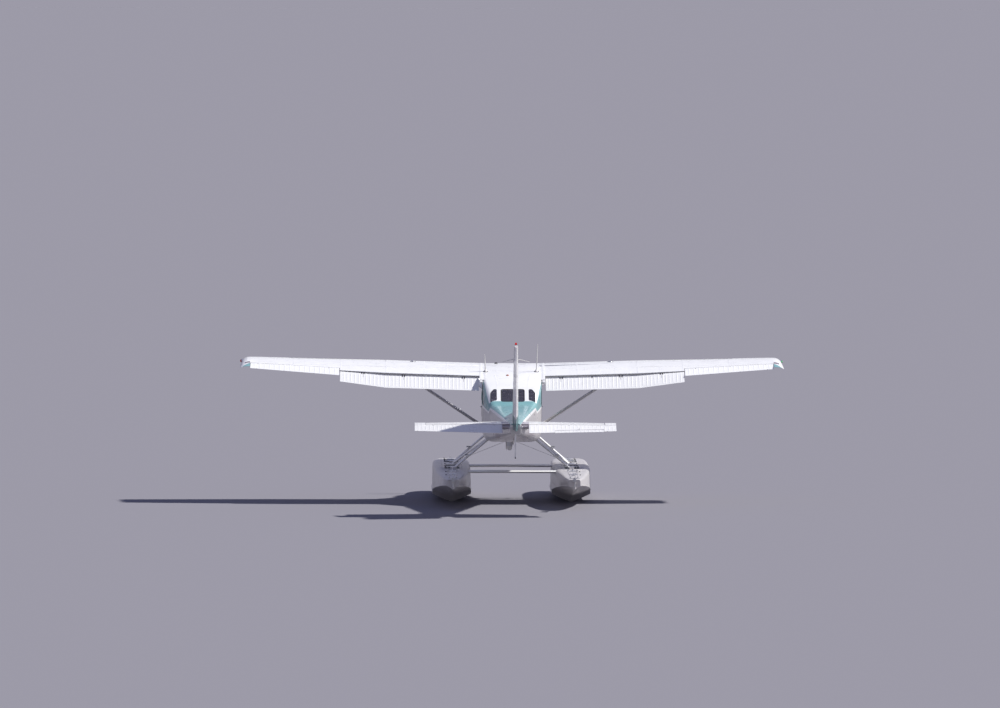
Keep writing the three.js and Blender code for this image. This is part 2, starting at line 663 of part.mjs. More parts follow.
place('stabilizer', buildStabilizer(), 'white');
const elevatorPivot = pivot('elevator', [0, STAB.hingeStation, STAB.height], [-1, 0, 0], STAB.restAngle);
{
  const half = buildElevatorHalf();
  const tabSpan = [TRIM_TAB.inner - TRIM_TAB.gap, TRIM_TAB.outer + TRIM_TAB.gap];
  const nose = elevatorHalfThickness(TRIM_TAB.inner, tabHinge(TRIM_TAB.inner)) + TRIM_TAB.gap;
  const rightHalf = mirrored(cut(half, tabBlock(...tabSpan, nose, 200, 60)));
  const plates = TRIM_TAB.plates.map((span) => mirrored(tabPlate(span, 40, 8, 7, 0)));
  place('elevator', join(half, rightHalf, elevatorTube, ...plates), 'white', elevatorPivot);
  const from = [-TRIM_TAB.inner, tabHinge(TRIM_TAB.inner), STAB.height];
  const to = [-TRIM_TAB.outer, tabHinge(TRIM_TAB.outer), STAB.height];
  const axis = new THREE.Vector3(...to).sub(new THREE.Vector3(...from)).normalize().toArray();
  const tabPivot = pivot('trim_tab', from, axis, 0, elevatorPivot);
  place('trim_tab', mirrored(buildTrimTab()), 'white', tabPivot);
}

// The last length of the tailcone is cut along the rudder's hinge line
const tailEndAt = (z) => TAIL_END + (z - FIN.hingeBottom[1]) * hingeSlope;
const tailEndCutter = (grow) => sidePrism([
  [tailEndAt(300) + grow, 300], [BEHIND, 300], [BEHIND, 1100], [tailEndAt(1100) + grow, 1100],
], -300, 300);

function buildTailcone(grow = 0) {
  const rear = TAILCONE.at(-1)[0];
  const cone = cut(body(TAILCONE, CABIN_REAR + TOUCH - grow, rear, grow), tailEndCutter(grow));
  if (grow > 0) return cone;
  const passage = loft([-400, 0, 400].map((x) => stabRing(Math.abs(x), TOUCH, 2).map((p) => [x, p[1], p[2]])));
  const tubeAt = (x) => [x, STAB.hingeStation, STAB.height];
  const tubePassage = rod(tubeAt(-300), tubeAt(300), STAB.tubeRadius + 30, 20);
  const hollow = body(TAILCONE, CABIN_REAR - 10, TAIL_HOLLOW, -TAIL_WALL);
  return cut(cone, passage, tubePassage, hollow);
}
const tailconeGrown = buildTailcone(TOUCH);
place('tailcone', buildTailcone(), 'teal');

// Fin, rudder, dorsal fillet and ventral fin

const finHalf = (z) => FIN.halfBottom + (FIN.halfTop - FIN.halfBottom)
  * THREE.MathUtils.clamp((z - FIN.base) / (FIN.top - FIN.base), 0, 1);
const finLeading = (z) => FIN.leadingBase + (FIN.leadingTop - FIN.leadingBase)
  * ((z - FIN.base) / (FIN.top - FIN.base));
const rudderTrailing = (z) => FIN.trailingBottom + (FIN.trailingTop - FIN.trailingBottom)
  * ((z - FIN.hingeBottom[1]) / (FIN.top - FIN.hingeBottom[1]));

function finRing(z) {
  const front = rudderHingeAt(z) - finLeading(z);
  const edge = TAIL_FRONT.map(([x, t]) => [rudderHingeAt(z) + x * front, t * finHalf(z)]);
  return [...edge.map(([y, x]) => [x, y, z]), ...edge.reverse().map(([y, x]) => [-x, y, z])];
}

const rudderSection = (outline, z) => outline.map(([y, x]) => [x, rudderHingeAt(z) + y, z]);
const rudderHalfAt = (z) => finHalf(z) * HINGE_HALF;

const rudderAxis = new THREE.Vector3(0, FIN.hingeTop[0] - FIN.hingeBottom[0],
  FIN.hingeTop[1] - FIN.hingeBottom[1]).normalize();
const finPlate = (z, ahead, behind, half, grow) => plate([[-ahead, -half], [behind, -half],
  [behind, half], [-ahead, half]].map(([y, x]) => [x, rudderHingeAt(z) + y, z]),
[0, rudderHingeAt(z), z], rudderAxis, grow);

function buildFin() {
  const plain = loft([FIN.base, FIN.middle, FIN.top].map(finRing));
  const levels = [FIN.base - 50, FIN.top + 20];
  const cove = loft(levels.map((z) => rudderSection(
    coveOutline(rudderHalfAt(z) + FIN.coveGap, COVE_REACH), z)));
  const hornAhead = HORN.rudderFront + HORN.gap;
  const hornSpace = sidePrism([
    [rudderHingeAt(FIN.hornBase) - hornAhead, FIN.hornBase - HORN.gap], [BEHIND, FIN.hornBase - HORN.gap],
    [BEHIND, FIN.top + 30], [rudderHingeAt(FIN.top) - hornAhead, FIN.top + 30],
  ], -200, 200);
  const dorsalRing = (station, top, halfTop, halfBottom) => [
    [halfTop, station, top], [halfBottom, station, DORSAL.bottom],
    [-halfBottom, station, DORSAL.bottom], [-halfTop, station, top]];
  const dorsal = loft([
    dorsalRing(DORSAL.start, DORSAL.startTop, 1, 1),
    dorsalRing(DORSAL.end, DORSAL.endTop, DORSAL.halfTop, DORSAL.halfBottom),
  ]);
  const stabTop = loft([-300, 300].map((x) => stabRing(Math.abs(x), TOUCH, 40).map((p) => [x, p[1], p[2]])));
  const plates = FIN.plates.map((z) => {
    const half = rudderHalfAt(z) * PLATE_SHARE;
    return finPlate(z, 90, half, half, 0);
  });
  return cut(join(cut(plain, cove, hornSpace), dorsal, ...plates), tailconeGrown, stabTop);
}

function buildRudder() {
  const levels = [FIN.hingeBottom[1] + 12, FIN.top];
  const panel = loft(levels.map((z) => rudderSection(
    movingOutline(rudderHalfAt(z), rudderTrailing(z) - rudderHingeAt(z)), z)));
  const horn = loft([FIN.hornBase, FIN.top].map((z) => rudderSection(
    hornOutline(rudderHalfAt(z) * 0.99, HORN.rudderFront), z)));
  const slots = FIN.plates.map((z) => finPlate(
    z, 120, rudderHalfAt(z) * PLATE_SHARE + PLATE.end, 120, PLATE.side));
  return cut(join(panel, horn), ...slots);
}

place('fin', buildFin(), 'white');
{
  const bottom = [0, ...FIN.hingeBottom];
  place('rudder', buildRudder(), 'white', pivot('rudder', bottom, rudderAxis.toArray()));
}
const beaconStation = (finLeading(FIN.top) + rudderHingeAt(FIN.top) - HORN.rudderFront) / 2;
place('beacon', rod([0, beaconStation, FIN.top + TOUCH], [0, beaconStation, FIN.top + BEACON.height],
  BEACON.radius, 16, BEACON.topRadius), 'red');
place('ventral_fin', cut(sidePrism([
  [VENTRAL.front, VENTRAL.top], [VENTRAL.front + 60, VENTRAL.shoulder], [VENTRAL.front + 200, VENTRAL.bottom],
  [VENTRAL.rear, VENTRAL.bottom], [VENTRAL.rear, VENTRAL.top],
], -VENTRAL.half, VENTRAL.half), tailconeGrown), 'white');

// Wings

// Section: fraction of the chord, upper height, lower height
const AIRFOIL = [
  [0, 0, 0], [0.004, 0.0122, -0.0098], [0.0125, 0.0215, -0.0165], [0.028, 0.0318, -0.0242],
  [0.05, 0.0413, -0.0301], [0.1, 0.0563, -0.0375],
  [0.2, 0.0726, -0.0423], [0.3, 0.0788, -0.0412], [0.4, 0.078, -0.038], [0.5, 0.0724, -0.0334],
  [0.6, 0.0636, -0.0276], [0.7, 0.0518, -0.0214], [0.8, 0.0375, -0.015], [0.9, 0.0208, -0.0082],
  [1, 0.0013, -0.0013],
];

function wingStation(span) {
  const out = THREE.MathUtils.clamp((span - WING.breakSpan) / (WING.span - WING.breakSpan), 0, 1.2);
  return {
    chord: WING.rootChord + (WING.tipChord - WING.rootChord) * out,
    leading: WING.leadingEdge + WING.tipShift * out,
    turn: THREE.MathUtils.degToRad(WING.incidence - WING.washout * out),
    height: WING.leadingHeight + (span - 600) * Math.tan(THREE.MathUtils.degToRad(WING.dihedral)),
  };
}

function wingPoint(span, x, z, grow = 0) {
  const { chord, leading, turn, height } = wingStation(span);
  const [y, up] = [x * chord, z * chord + grow];
  return [span, leading + y * Math.cos(turn) + up * Math.sin(turn),
    height + up * Math.cos(turn) - y * Math.sin(turn)];
}

function wingRing(span, grow = 0) {
  const upper = AIRFOIL.slice().reverse().map(([x, z]) => wingPoint(span, x, z, x > 0 ? grow : 0));
  const lower = AIRFOIL.slice(1).map(([x, , z]) => wingPoint(span, x, z, -grow));
  return [...upper, ...lower];
}

const wingBody = (from, to, grow = 0) => loft([from, WING.breakSpan, to].map((span) => wingRing(span, grow)));
const wingSection = (outline, span) => outline.map(([x, z]) => wingPoint(span, x, z));
const wingLoft = (outline, spans) => loft(spans.map((span) => wingSection(outline, span)));

// Flap and cove outlines: aft of the nose line as a fraction of the flap's chord, the wing surface that
// the height is measured from (1 upper, -1 lower), and the height above it in millimetres
const COVE = [[-0.03, -1, -60], [-0.03, 1, -68], [0.01, 1, -27], [0.13, 1, -20], [0.32, 1, -18],
  [0.54, 1, -13], [0.54, 1, 60], [1.2, 1, 90], [1.2, -1, -90]];
const FLAP_OUTLINE = [[1, 0, 2], [0.8, 1, -11], [0.54, 1, -21], [0.33, 1, -28], [0.22, 1, -34],
  [0.12, 1, -46], [0.05, 1, -62], [0, -1, 32], [0.02, -1, 14], [0.08, -1, 2],
  [0.4, -1, 0], [0.8, -1, 0], [1, 0, -2]];
const FLAP_PLATE = [[-0.08, -1, 22], [-0.08, 1, -16], [0.13, 1, -16], [0.44, 1, -13],
  [0.44, 1, -36], [0.2, -1, 18]];
const FLAP_SLOT = [[-0.1, -1, -60], [0.5, -1, -60], [0.5, 1, 60], [-0.1, 1, 60]];

function airfoilHeight(x, surface) {
  const column = surface > 0 ? 1 : 2;
  const last = AIRFOIL.length - 1;
  let i = 0;
  while (i < last - 1 && AIRFOIL[i + 1][0] < x) i += 1;
  const t = (x - AIRFOIL[i][0]) / (AIRFOIL[i + 1][0] - AIRFOIL[i][0]);
  return surface === 0 ? 0 : AIRFOIL[i][column] + t * (AIRFOIL[i + 1][column] - AIRFOIL[i][column]);
}

function flapPoint(span, [aft, surface, rise]) {
  const { chord, leading } = wingStation(span);
  const nose = FLAP.noseStation - leading;
  const x = (nose + aft * (chord - nose)) / chord;
  return wingPoint(span, x, airfoilHeight(Math.min(x, 1), surface) + rise / chord);
}
const flapLoft = (outline, spans) => loft(spans.map((span) => outline.map((point) => flapPoint(span, point))));

function flapAxisPoint(span) {
  const { chord, leading } = wingStation(Math.min(span, WING.breakSpan));
  return wingPoint(span, (FLAP.noseStation + FLAP.pivotAft - leading) / chord, -FLAP.pivotBelow / chord);
}

// Aileron, its cove and its hinge plates, in fractions of the wing's chord
const aileronNose = (radius) => noseArc(radius).map(([x, z]) => [AILERON.hingeX + x, AILERON.hingeZ + z]);
const AILERON_OUTLINE = [
  [1, 0.0013], [0.9, 0.0208], ...aileronNose(AILERON.noseRadius), [0.9, -0.0082], [1, -0.0013]];
const AILERON_COVE = [[1.1, 0.1], [AILERON.hingeX, 0.1], ...aileronNose(AILERON.coveRadius),
  [AILERON.hingeX, -0.1], [1.1, -0.1]];
const AILERON_PLATE = [[0.75, -1], [AILERON.hingeX + AILERON.plateHalf, -1],
  [AILERON.hingeX + AILERON.plateHalf, 1], [0.75, 1]]
  .map(([x, side]) => [x, AILERON.hingeZ + side * AILERON.plateHalf]);

const direction = (from, to) => new THREE.Vector3(...to).sub(new THREE.Vector3(...from)).normalize();
const flapPivot = flapAxisPoint(FLAP.inner);
const flapOuter = flapAxisPoint(WING.breakSpan);
const aileronPivot = wingPoint(AILERON.inner, AILERON.hingeX, AILERON.hingeZ);
const aileronOuter = wingPoint(WING.span, AILERON.hingeX, AILERON.hingeZ);
const flapPlate = (outline, span, grow) => plate(
  outline.map((point) => flapPoint(span, point)), flapAxisPoint(span), direction(flapPivot, flapOuter), grow);
const aileronPlate = (outline, span, grow) => plate(
  wingSection(outline, span), wingPoint(span, AILERON.hingeX, AILERON.hingeZ),
  direction(aileronPivot, aileronOuter), grow);

function buildWing() {
  const flapCove = flapLoft(COVE, [FLAP.inner, WING.breakSpan, FLAP.outer]);
  const aileronCove = wingLoft(AILERON_COVE, [AILERON.inner, WING.span + 20]);
  const clear = cut(wingBody(WING.rootSpan, WING.span), flapCove, aileronCove, hullGrown);
  return join(
    clear,
    ...FLAP.plates.map((span) => flapPlate(FLAP_PLATE, span, 0)),
    ...AILERON.plates.map((span) => aileronPlate(AILERON_PLATE, span, 0)),
  );
}

function buildFlap() {
  const panel = flapLoft(FLAP_OUTLINE, [FLAP.inner + FLAP.endGap, WING.breakSpan, FLAP.outer - FLAP.endGap]);
  return cut(panel, ...FLAP.plates.map((span) => flapPlate(FLAP_SLOT, span, PLATE.side)));
}

function buildAileron() {
  const panel = wingLoft(AILERON_OUTLINE, [AILERON.inner + AILERON.endGap, WING.span - AILERON.endGap]);
  const reach = AILERON.hingeX + AILERON.plateHalf + AILERON.slotGap;
  const slot = [[0.7, -0.1], [reach, -0.1], [reach, 0.1], [0.7, 0.1]];
  return cut(panel, ...AILERON.plates.map((span) => aileronPlate(slot, span, PLATE.side)));
}

function buildWingTip() {
  // span, length as a share of the tip chord, share of the full droop
  const stages = [[WING.span + TOUCH, 1, 0], [WING.span + 60, 0.997, 0.04], [WING.span + 110, 0.98, 0.17],
    [WING.span + 160, 0.93, 0.45], [TIP_CAP.outerSpan - 12, 0.87, 0.83], [TIP_CAP.outerSpan, 0.82, 1]];
  return loft(stages.map(([span, scale, droop]) => {
    const ring = wingRing(WING.span);
    const middle = wingPoint(WING.span, 0.5, 0);
    const rise = (span - WING.span) * Math.tan(THREE.MathUtils.degToRad(WING.dihedral));
    const flat = 1 - TIP_CAP.thinning * droop;
    return ring.map(([, y, z]) => [span, middle[1] + (y - middle[1]) * scale,
      middle[2] + (z - middle[2]) * flat - TIP_CAP.droop * droop + rise]);
  }));
}

const wing = buildWing();
const flap = buildFlap();
const aileron = buildAileron();
const wingTip = buildWingTip();

for (const [label, handed, sign] of sides) {
  place(`wing_${label}`, handed(wing), 'white');
  place(`wingtip_${label}`, handed(wingTip), 'teal');
  const flip = ([x, y, z]) => [x * sign, y, z];
  const flapAxis = direction(flip(flapPivot), flip(flapOuter)).multiplyScalar(-sign).toArray();
  const flapGroup = pivot(`flap_${label}`, flip(flapPivot), flapAxis, FLAP.restAngle);
  place(`flap_${label}`, handed(flap), 'white', flapGroup);
  const aileronAxis = direction(flip(aileronPivot), flip(aileronOuter)).multiplyScalar(-sign).toArray();
  const aileronGroup = pivot(`aileron_${label}`, flip(aileronPivot), aileronAxis, AILERON.restAngle);
  place(`aileron_${label}`, handed(aileron), 'white', aileronGroup);
  const [topSpan, topStation, topDrop] = WING_STRUT.top;
  const topHeight = wingPoint(topSpan, (topStation - WING.leadingEdge) / WING.rootChord, -topDrop)[2];
  const brace = cut(
    strut(WING_STRUT.foot, [topSpan, topStation, topHeight], WING_STRUT.chord, WING_STRUT.thickness),
    hullGrown,
    wingBody(WING.rootSpan, WING.span, TOUCH),
  );
  place(`wing_strut_${label}`, handed(brace), 'white');
}

// Engine cowl, engine and propeller

function buildCowl() {
  const front = COWL.at(-1)[0];
  const outer = body(COWL, front, -TOUCH);
  const cavity = body(COWL, front + COWL_WALL + 16, 10, -COWL_WALL);
  const shaftHole = rod([0, INLET.front, THRUST], [0, ENGINE.front, THRUST], ENGINE.shaft + 35, 24);
  const [low, high] = [INLET.z - INLET.height / 2, INLET.z + INLET.height / 2];
  const [inner, outside] = [INLET.centre - INLET.half, INLET.centre + INLET.half];
  const mouth = roundCorners([[inner, low], [outside, low], [outside, high], [inner, high]], INLET.height / 2);
  const inlet = loft([INLET.front, INLET.rear].map((y) => mouth.map(([x, z]) => [x, y, z])));
  const outlet = box([-COWL_OUTLET.half, COWL_OUTLET.half], [COWL_OUTLET.front, 20],
    [COWL_OUTLET.bottom, COWL_OUTLET.top]);
  return cut(outer, cavity, shaftHole, inlet, mirrored(inlet), outlet);
}

function buildEngine() {
  const block = box([-ENGINE.half, ENGINE.half], [ENGINE.front, ENGINE.rear], [ENGINE.bottom, ENGINE.top]);
  const hubFace = PROP.station + PROP.hubHalf + TOUCH;
  const shaft = rod([0, ENGINE.front + 5, THRUST], [0, hubFace, THRUST], ENGINE.shaft, 20);
  const mounts = [-1, 1].flatMap((x) => [ENGINE.bottom + 60, ENGINE.top - 60].map((z) => rod(
    [x * (ENGINE.half - 40), ENGINE.rear - 10, z], [x * (ENGINE.half - 40), -TOUCH, z], ENGINE.mount)));
  const down = new THREE.Vector3(...EXHAUST.to).sub(new THREE.Vector3(...EXHAUST.from));
  const along = (share) => new THREE.Vector3(...EXHAUST.from).addScaledVector(down, share).toArray();
  const pipe = rod(EXHAUST.from, EXHAUST.to, EXHAUST.radius, 16);
  const exhaust = cut(pipe, rod(along(0.7), along(1.05), EXHAUST.bore, 16));
  return join(block, shaft, exhaust, ...mounts);
}

// Blade stations: radius, chord, thickness, pitch in degrees
const BLADE = [[60, 86, 80, 60], [210, 92, 62, 52], [330, 150, 34, 42], [620, 172, 22, 28],
  [880, 150, 14, 21], [1000, 105, 9, 18], [PROP.radius, 60, 6, 17]];
function buildPropeller() {
  const outline = Array.from({ length: 12 }, (_, i) => {
    const angle = (2 * Math.PI * i) / 12;
    return [Math.cos(angle) / 2, Math.sin(angle) / 2];
  });
  const blade = loft(BLADE.map(([radius, chord, thickness, pitch]) => {
    const turn = THREE.MathUtils.degToRad(pitch);
    return outline.map(([u, v]) => {
      const [along, across] = [u * chord, v * thickness];
      return [along * Math.cos(turn) - across * Math.sin(turn),
        PROP.station + along * Math.sin(turn) + across * Math.cos(turn), THRUST + radius];
    });
  }));
  const [front, rear] = [PROP.station - PROP.hubHalf, PROP.station + PROP.hubHalf];
  const hub = rod([0, front, THRUST], [0, rear, THRUST], PROP.hubRadius, 24);
  const blades = Array.from({ length: PROP.blades }, (_, i) => {
    const turned = blade.clone().translate(0, 0, -THRUST);
    turned.rotateY((2 * Math.PI * i) / PROP.blades);
    return turned.translate(0, 0, THRUST);
  });
  return join(hub, ...blades);
}

function buildSpinner() {
  const length = SPINNER.rear - SPINNER.tip;
  const dome = (radius, reach) => Array.from({ length: SPINNER.steps + 1 }, (_, i) => {
    const t = i / SPINNER.steps;
    return new THREE.Vector2(radius * (1 - t ** 2.1) ** 0.75, t * reach);
  });
  const outer = dome(SPINNER.radius, length);
  const inner = dome(SPINNER.radius - SPINNER.wall, length - SPINNER.wall * 1.5).reverse();
  inner[inner.length - 1].y = SPINNER.wall;
  const hubHole = PROP.hubRadius + SPINNER.hubGap;
  const disc = [new THREE.Vector2(hubHole, SPINNER.wall), new THREE.Vector2(hubHole, 0)];
  const lathe = new THREE.LatheGeometry([...outer, ...inner, ...disc, outer[0].clone()], 32);
  lathe.rotateX(Math.PI);
  lathe.translate(0, SPINNER.rear, THRUST);
  const holes = Array.from({ length: PROP.blades }, (_, i) => {
    const angle = (2 * Math.PI * i) / PROP.blades;
    const [x, z] = [Math.sin(angle), Math.cos(angle)];
    const at = (radius) => [x * radius, PROP.station, THRUST + z * radius];
    return rod(at(PROP.hubRadius + 5), at(SPINNER.radius + 74), SPINNER.bladeHole, 20);
  });
  return cut(lathe, ...holes);
}

place('engine_cowl', buildCowl(), 'white');
place('engine', buildEngine(), 'metal');
const propellerGroup = pivot('propeller', [0, PROP.station, THRUST], [0, -1, 0], PROP.restAngle);
place('propeller', buildPropeller(), 'metal', propellerGroup);
place('spinner', buildSpinner(), 'white', propellerGroup);

// Inside the cabin

const floorAt = (station) => sectionAt(CABIN, station)[2] + WALL + TOUCH;

function buildSeat(x, station, width, depth, backTop) {
  const [low, high] = [x - width / 2, x + width / 2];
  const rear = station + depth;
  const cushion = box([low, high], [station, rear], [SEAT.bottom, SEAT.top]);
  const foot = rear - SEAT.backThick;
  const back = sidePrism([[foot, SEAT.bottom + 30], [rear + 20, SEAT.bottom + 30],
    [rear + SEAT.backLean, backTop], [foot + SEAT.backLean, backTop]], low, high);
  const [front, behind] = [station + SEAT.baseFront, rear - SEAT.baseInset];
  const base = sidePrism([[front, floorAt(front)], [behind, floorAt(behind)],
    [behind, SEAT.bottom + 10], [front, SEAT.bottom + 10]], low + SEAT.baseInset, high - SEAT.baseInset);
  return join(cushion, back, base);
}

for (const [name, seat] of Object.entries(SEATS)) {
  place(name, buildSeat(...seat), 'seat');
}

function buildYoke(x) {
  const [ahead, behind] = [PANEL.yokeStation - PANEL.yokeBar / 2, PANEL.yokeStation + PANEL.yokeBar / 2];
  const [low, high] = [PANEL.yokeHeight - 15, PANEL.yokeHeight + 15];
  const grips = [-1, 1].map((side) => {
    const centre = x + side * (PANEL.yokeHalf - PANEL.yokeBar / 2);
    return box([centre - PANEL.yokeBar / 2, centre + PANEL.yokeBar / 2], [ahead, behind],
      [low, PANEL.yokeHeight + PANEL.grip]);
  });
  return join(
    rod([x, PANEL.rear - 10, PANEL.yokeHeight], [x, PANEL.yokeStation, PANEL.yokeHeight], PANEL.columnRadius),
    box([x - PANEL.yokeHalf, x + PANEL.yokeHalf], [ahead, behind], [low, high]),
    ...grips,
  );
}

function buildPanel() {
  const board = box([-PANEL.half, PANEL.half], [PANEL.front, PANEL.rear], [PANEL.bottom, PANEL.top]);
  const stand = box([-PANEL.standHalf, PANEL.standHalf], [CAVITY[0] + TOUCH, PANEL.front + 10],
    [PANEL.standBottom, PANEL.bottom + 20]);
  return join(board, stand, buildYoke(-PANEL.yokeCentre), buildYoke(PANEL.yokeCentre));
}
place('instrument_panel', buildPanel(), 'dark');

// Floats, drawn level

// Half a float's section from the keel up: share of the half beam, and height between two of the
// section's levels as lower level, upper level, share
const FLOAT_RING = [
  [0.5, 'keel', 'chine', 0.44], [1, 'chine', 'chine', 0],
  [0.985, 'chine', 'edge', 0.5], [0.97, 'chine', 'edge', 1],
  [0.945, 'edge', 'top', 0.42], [0.87, 'edge', 'top', 0.8], [0.74, 'edge', 'top', 1],
];

function floatRing([station, keel, chine, edge, top, half], grow) {
  const level = { keel, chine, edge, top };
  const right = [[KEEL_HALF, keel - grow], ...FLOAT_RING.map(([share, lower, upper, mix]) => {
    const rise = upper === 'top' ? grow : 0;
    return [half * share + (rise ? 0 : grow), level[lower] + (level[upper] - level[lower]) * mix + rise];
  })];
  const left = right.slice().reverse().map(([x, z]) => [-x, z]);
  return [...right, ...left].map(([x, z]) => [x + FLOAT_CENTRE, station, z]);
}

const hullFloat = (grow = 0) => loft(FLOAT_SECTIONS.map((section) => floatRing(section, grow)));

const middleOfFloat = (half) => [FLOAT_CENTRE - half, FLOAT_CENTRE + half];

// Two lugs on the stern, above each other, that carry the water rudder's post
function sternBracket() {
  const { station, postTop, postBottom, lug, postRadius, headHeight } = WATER_RUDDER;
  const hole = rod([FLOAT_CENTRE, station, postBottom - 150], [FLOAT_CENTRE, station, postTop + 150],
    postRadius + 4 * TOUCH);
  return [postTop - headHeight, postBottom + 20].map((high) => cut(join(
    box(middleOfFloat(WATER_RUDDER.bracketHalf), [WATER_RUDDER.bracketFront, station], [high - lug, high]),
    rod([FLOAT_CENTRE, station, high - lug], [FLOAT_CENTRE, station, high], WATER_RUDDER.bracketEye),
  ), hole));
}

const deckTop = Math.max(...FLOAT_SECTIONS.map(([, , , , top]) => top));

function deckFitting(station, grow = 0) {
  const { inner, outer, length, top } = FITTING_BLOCK;
  return box([FLOAT_CENTRE - inner - grow, FLOAT_CENTRE + outer + grow],
    [station - length / 2 - grow, station + length / 2 + grow], [deckTop - 75, top + grow]);
}
const fittings = Object.values(FLOAT_FITTINGS);

// Raised flat pad on the deck, where things are fastened
const deckPad = box(middleOfFloat(DECK_PAD.half),
  [DECK_PAD.station - DECK_PAD.length / 2, DECK_PAD.station + DECK_PAD.length / 2],
  [deckTop - 20, deckTop + DECK_PAD.rise]);

const buildFloat = () => join(
  hullFloat(), ...sternBracket(), ...fittings.map((station) => deckFitting(station)), deckPad);

const bodyOnGround = toGround(hullGrown);
const floatGrown = hullFloat(TOUCH);
function buildGearStrut(bodyStation, floatStation) {
  const top = pointToGround([BODY_FITTINGS.x, bodyStation, BODY_FITTINGS.z]);
  const foot = [FLOAT_CENTRE, floatStation, GEAR_STRUT.footHeight];
  return cut(strut(foot, top, GEAR_STRUT.chord, GEAR_STRUT.thickness), bodyOnGround, floatGrown,
    ...fittings.map((station) => deckFitting(station, TOUCH)));
}

function buildPost() {
  const { station, postRadius, postTop, postBottom, axle, headHeight, arm, armRise } = WATER_RUDDER;
  return join(
    rod([FLOAT_CENTRE, station, postBottom - 20], [FLOAT_CENTRE, station, postTop], postRadius),
    box(middleOfFloat(30), [station - 30, station + 30], [postTop - headHeight + TOUCH, postTop]),
    box(arm.map((x) => FLOAT_CENTRE + x), [station, axle[0] + 16], [axle[1] - armRise, axle[1] + armRise]),
  );
}

function buildBlade() {
  const { axle, arm, bladeLength, bladeWidth, bladeThick } = WATER_RUDDER;
  const [y, z] = axle;
  const x0 = FLOAT_CENTRE + arm[0] - PLATE.side - bladeThick;
  return sidePrism([[y - 14, z - 16], [y + 10, z - 20], [y + bladeLength - 20, z - 20], [y + bladeLength, z],
    [y + bladeLength - 40, z + bladeWidth * 0.7], [y + 160, z + bladeWidth * 0.6], [y + 60, z + 30],
    [y - 14, z + 16]], x0, x0 + bladeThick);
}

const floatSolid = buildFloat();
const gearStruts = {
  front: buildGearStrut(BODY_FITTINGS.front, FLOAT_FITTINGS.front),
  rear: buildGearStrut(BODY_FITTINGS.rear, FLOAT_FITTINGS.rear),
  diagonal: buildGearStrut(BODY_FITTINGS.rear - GEAR_STRUT.diagonalAhead,
    FLOAT_FITTINGS.front + GEAR_STRUT.diagonalFoot),
};
for (const [label, handed, sign] of sides) {
  place(`float_${label}`, handed(floatSolid), 'white', aircraft);
  for (const [where, geometry] of Object.entries(gearStruts)) {
    place(`gear_strut_${where}_${label}`, handed(geometry), 'white', aircraft);
  }
  const { station, postBottom, axle, restAngle } = WATER_RUDDER;
  const foot = [FLOAT_CENTRE * sign, station, postBottom];
  const post = pivot(`water_rudder_${label}`, foot, [0, 0, 1], 0, aircraft);
  place(`water_rudder_post_${label}`, handed(buildPost()), 'metal', post);
  const hinge = [FLOAT_CENTRE * sign, ...axle];
  const lift = pivot(`water_rudder_lift_${label}`, hinge, [-1, 0, 0], -restAngle, post);
  place(`water_rudder_blade_${label}`, handed(buildBlade()), 'metal', lift);
}
for (const [where, station] of Object.entries(FLOAT_FITTINGS)) {
  const reach = FLOAT_CENTRE - SPREADER.overlap;
  const bar = strut([-reach, station, SPREADER.z], [reach, station, SPREADER.z],
    SPREADER.chord, SPREADER.thickness);
  place(`spreader_${where}`, cut(bar, floatGrown, mirrored(floatGrown)), 'white', aircraft);
}

// The origin is under the middle of the whole aircraft, at the height of the keels
aircraft.updateMatrixWorld(true);
const bounds = new THREE.Box3().setFromObject(aircraft, true);
const middle = bounds.getCenter(new THREE.Vector3());
aircraft.position.set(-middle.x, -middle.y, -bounds.min.z);
aircraft.updateMatrixWorld(true);

export default aircraft;
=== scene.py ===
# Looks of a six-seat floatplane: finishes, livery, glazing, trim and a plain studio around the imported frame.
# Metres, in the frame's own axes: +Z up, nose toward -Y, port side toward +X.

import json
import math
from functools import partialmethod

import bmesh
import bpy
from mathutils import Matrix, Quaternion, Vector
from mathutils.bvhtree import BVHTree

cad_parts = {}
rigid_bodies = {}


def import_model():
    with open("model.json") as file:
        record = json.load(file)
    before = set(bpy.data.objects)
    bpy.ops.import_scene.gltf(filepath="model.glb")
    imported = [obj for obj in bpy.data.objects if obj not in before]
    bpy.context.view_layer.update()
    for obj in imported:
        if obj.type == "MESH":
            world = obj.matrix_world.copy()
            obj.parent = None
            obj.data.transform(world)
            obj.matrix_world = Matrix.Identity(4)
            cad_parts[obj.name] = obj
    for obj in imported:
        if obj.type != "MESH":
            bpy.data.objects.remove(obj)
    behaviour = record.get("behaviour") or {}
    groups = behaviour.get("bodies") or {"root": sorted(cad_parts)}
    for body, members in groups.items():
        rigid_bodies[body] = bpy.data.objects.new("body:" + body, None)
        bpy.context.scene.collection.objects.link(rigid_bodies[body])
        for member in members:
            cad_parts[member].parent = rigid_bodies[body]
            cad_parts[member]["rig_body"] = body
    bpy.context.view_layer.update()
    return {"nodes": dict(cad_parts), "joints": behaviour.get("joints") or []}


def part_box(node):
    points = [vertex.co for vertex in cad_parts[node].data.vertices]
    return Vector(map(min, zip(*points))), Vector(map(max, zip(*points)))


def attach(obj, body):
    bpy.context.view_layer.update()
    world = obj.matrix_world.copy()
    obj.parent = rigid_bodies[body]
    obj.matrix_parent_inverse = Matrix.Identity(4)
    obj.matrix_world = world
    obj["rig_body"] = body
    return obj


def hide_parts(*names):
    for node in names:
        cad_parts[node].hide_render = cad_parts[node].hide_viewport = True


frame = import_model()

# Camera: the photograph's frame, and the wing's crest at the roof, which it shows at this pixel
IMAGE = (1000, 708)
CAMERA = {"lens": 300, "sensor": 36, "distance": 169, "azimuth": 0.9, "elevation": 2.5, "roll": -0.15}
CREST = {"place": (0, 0.98, 1.583), "pixel": (511.5, 363.1)}

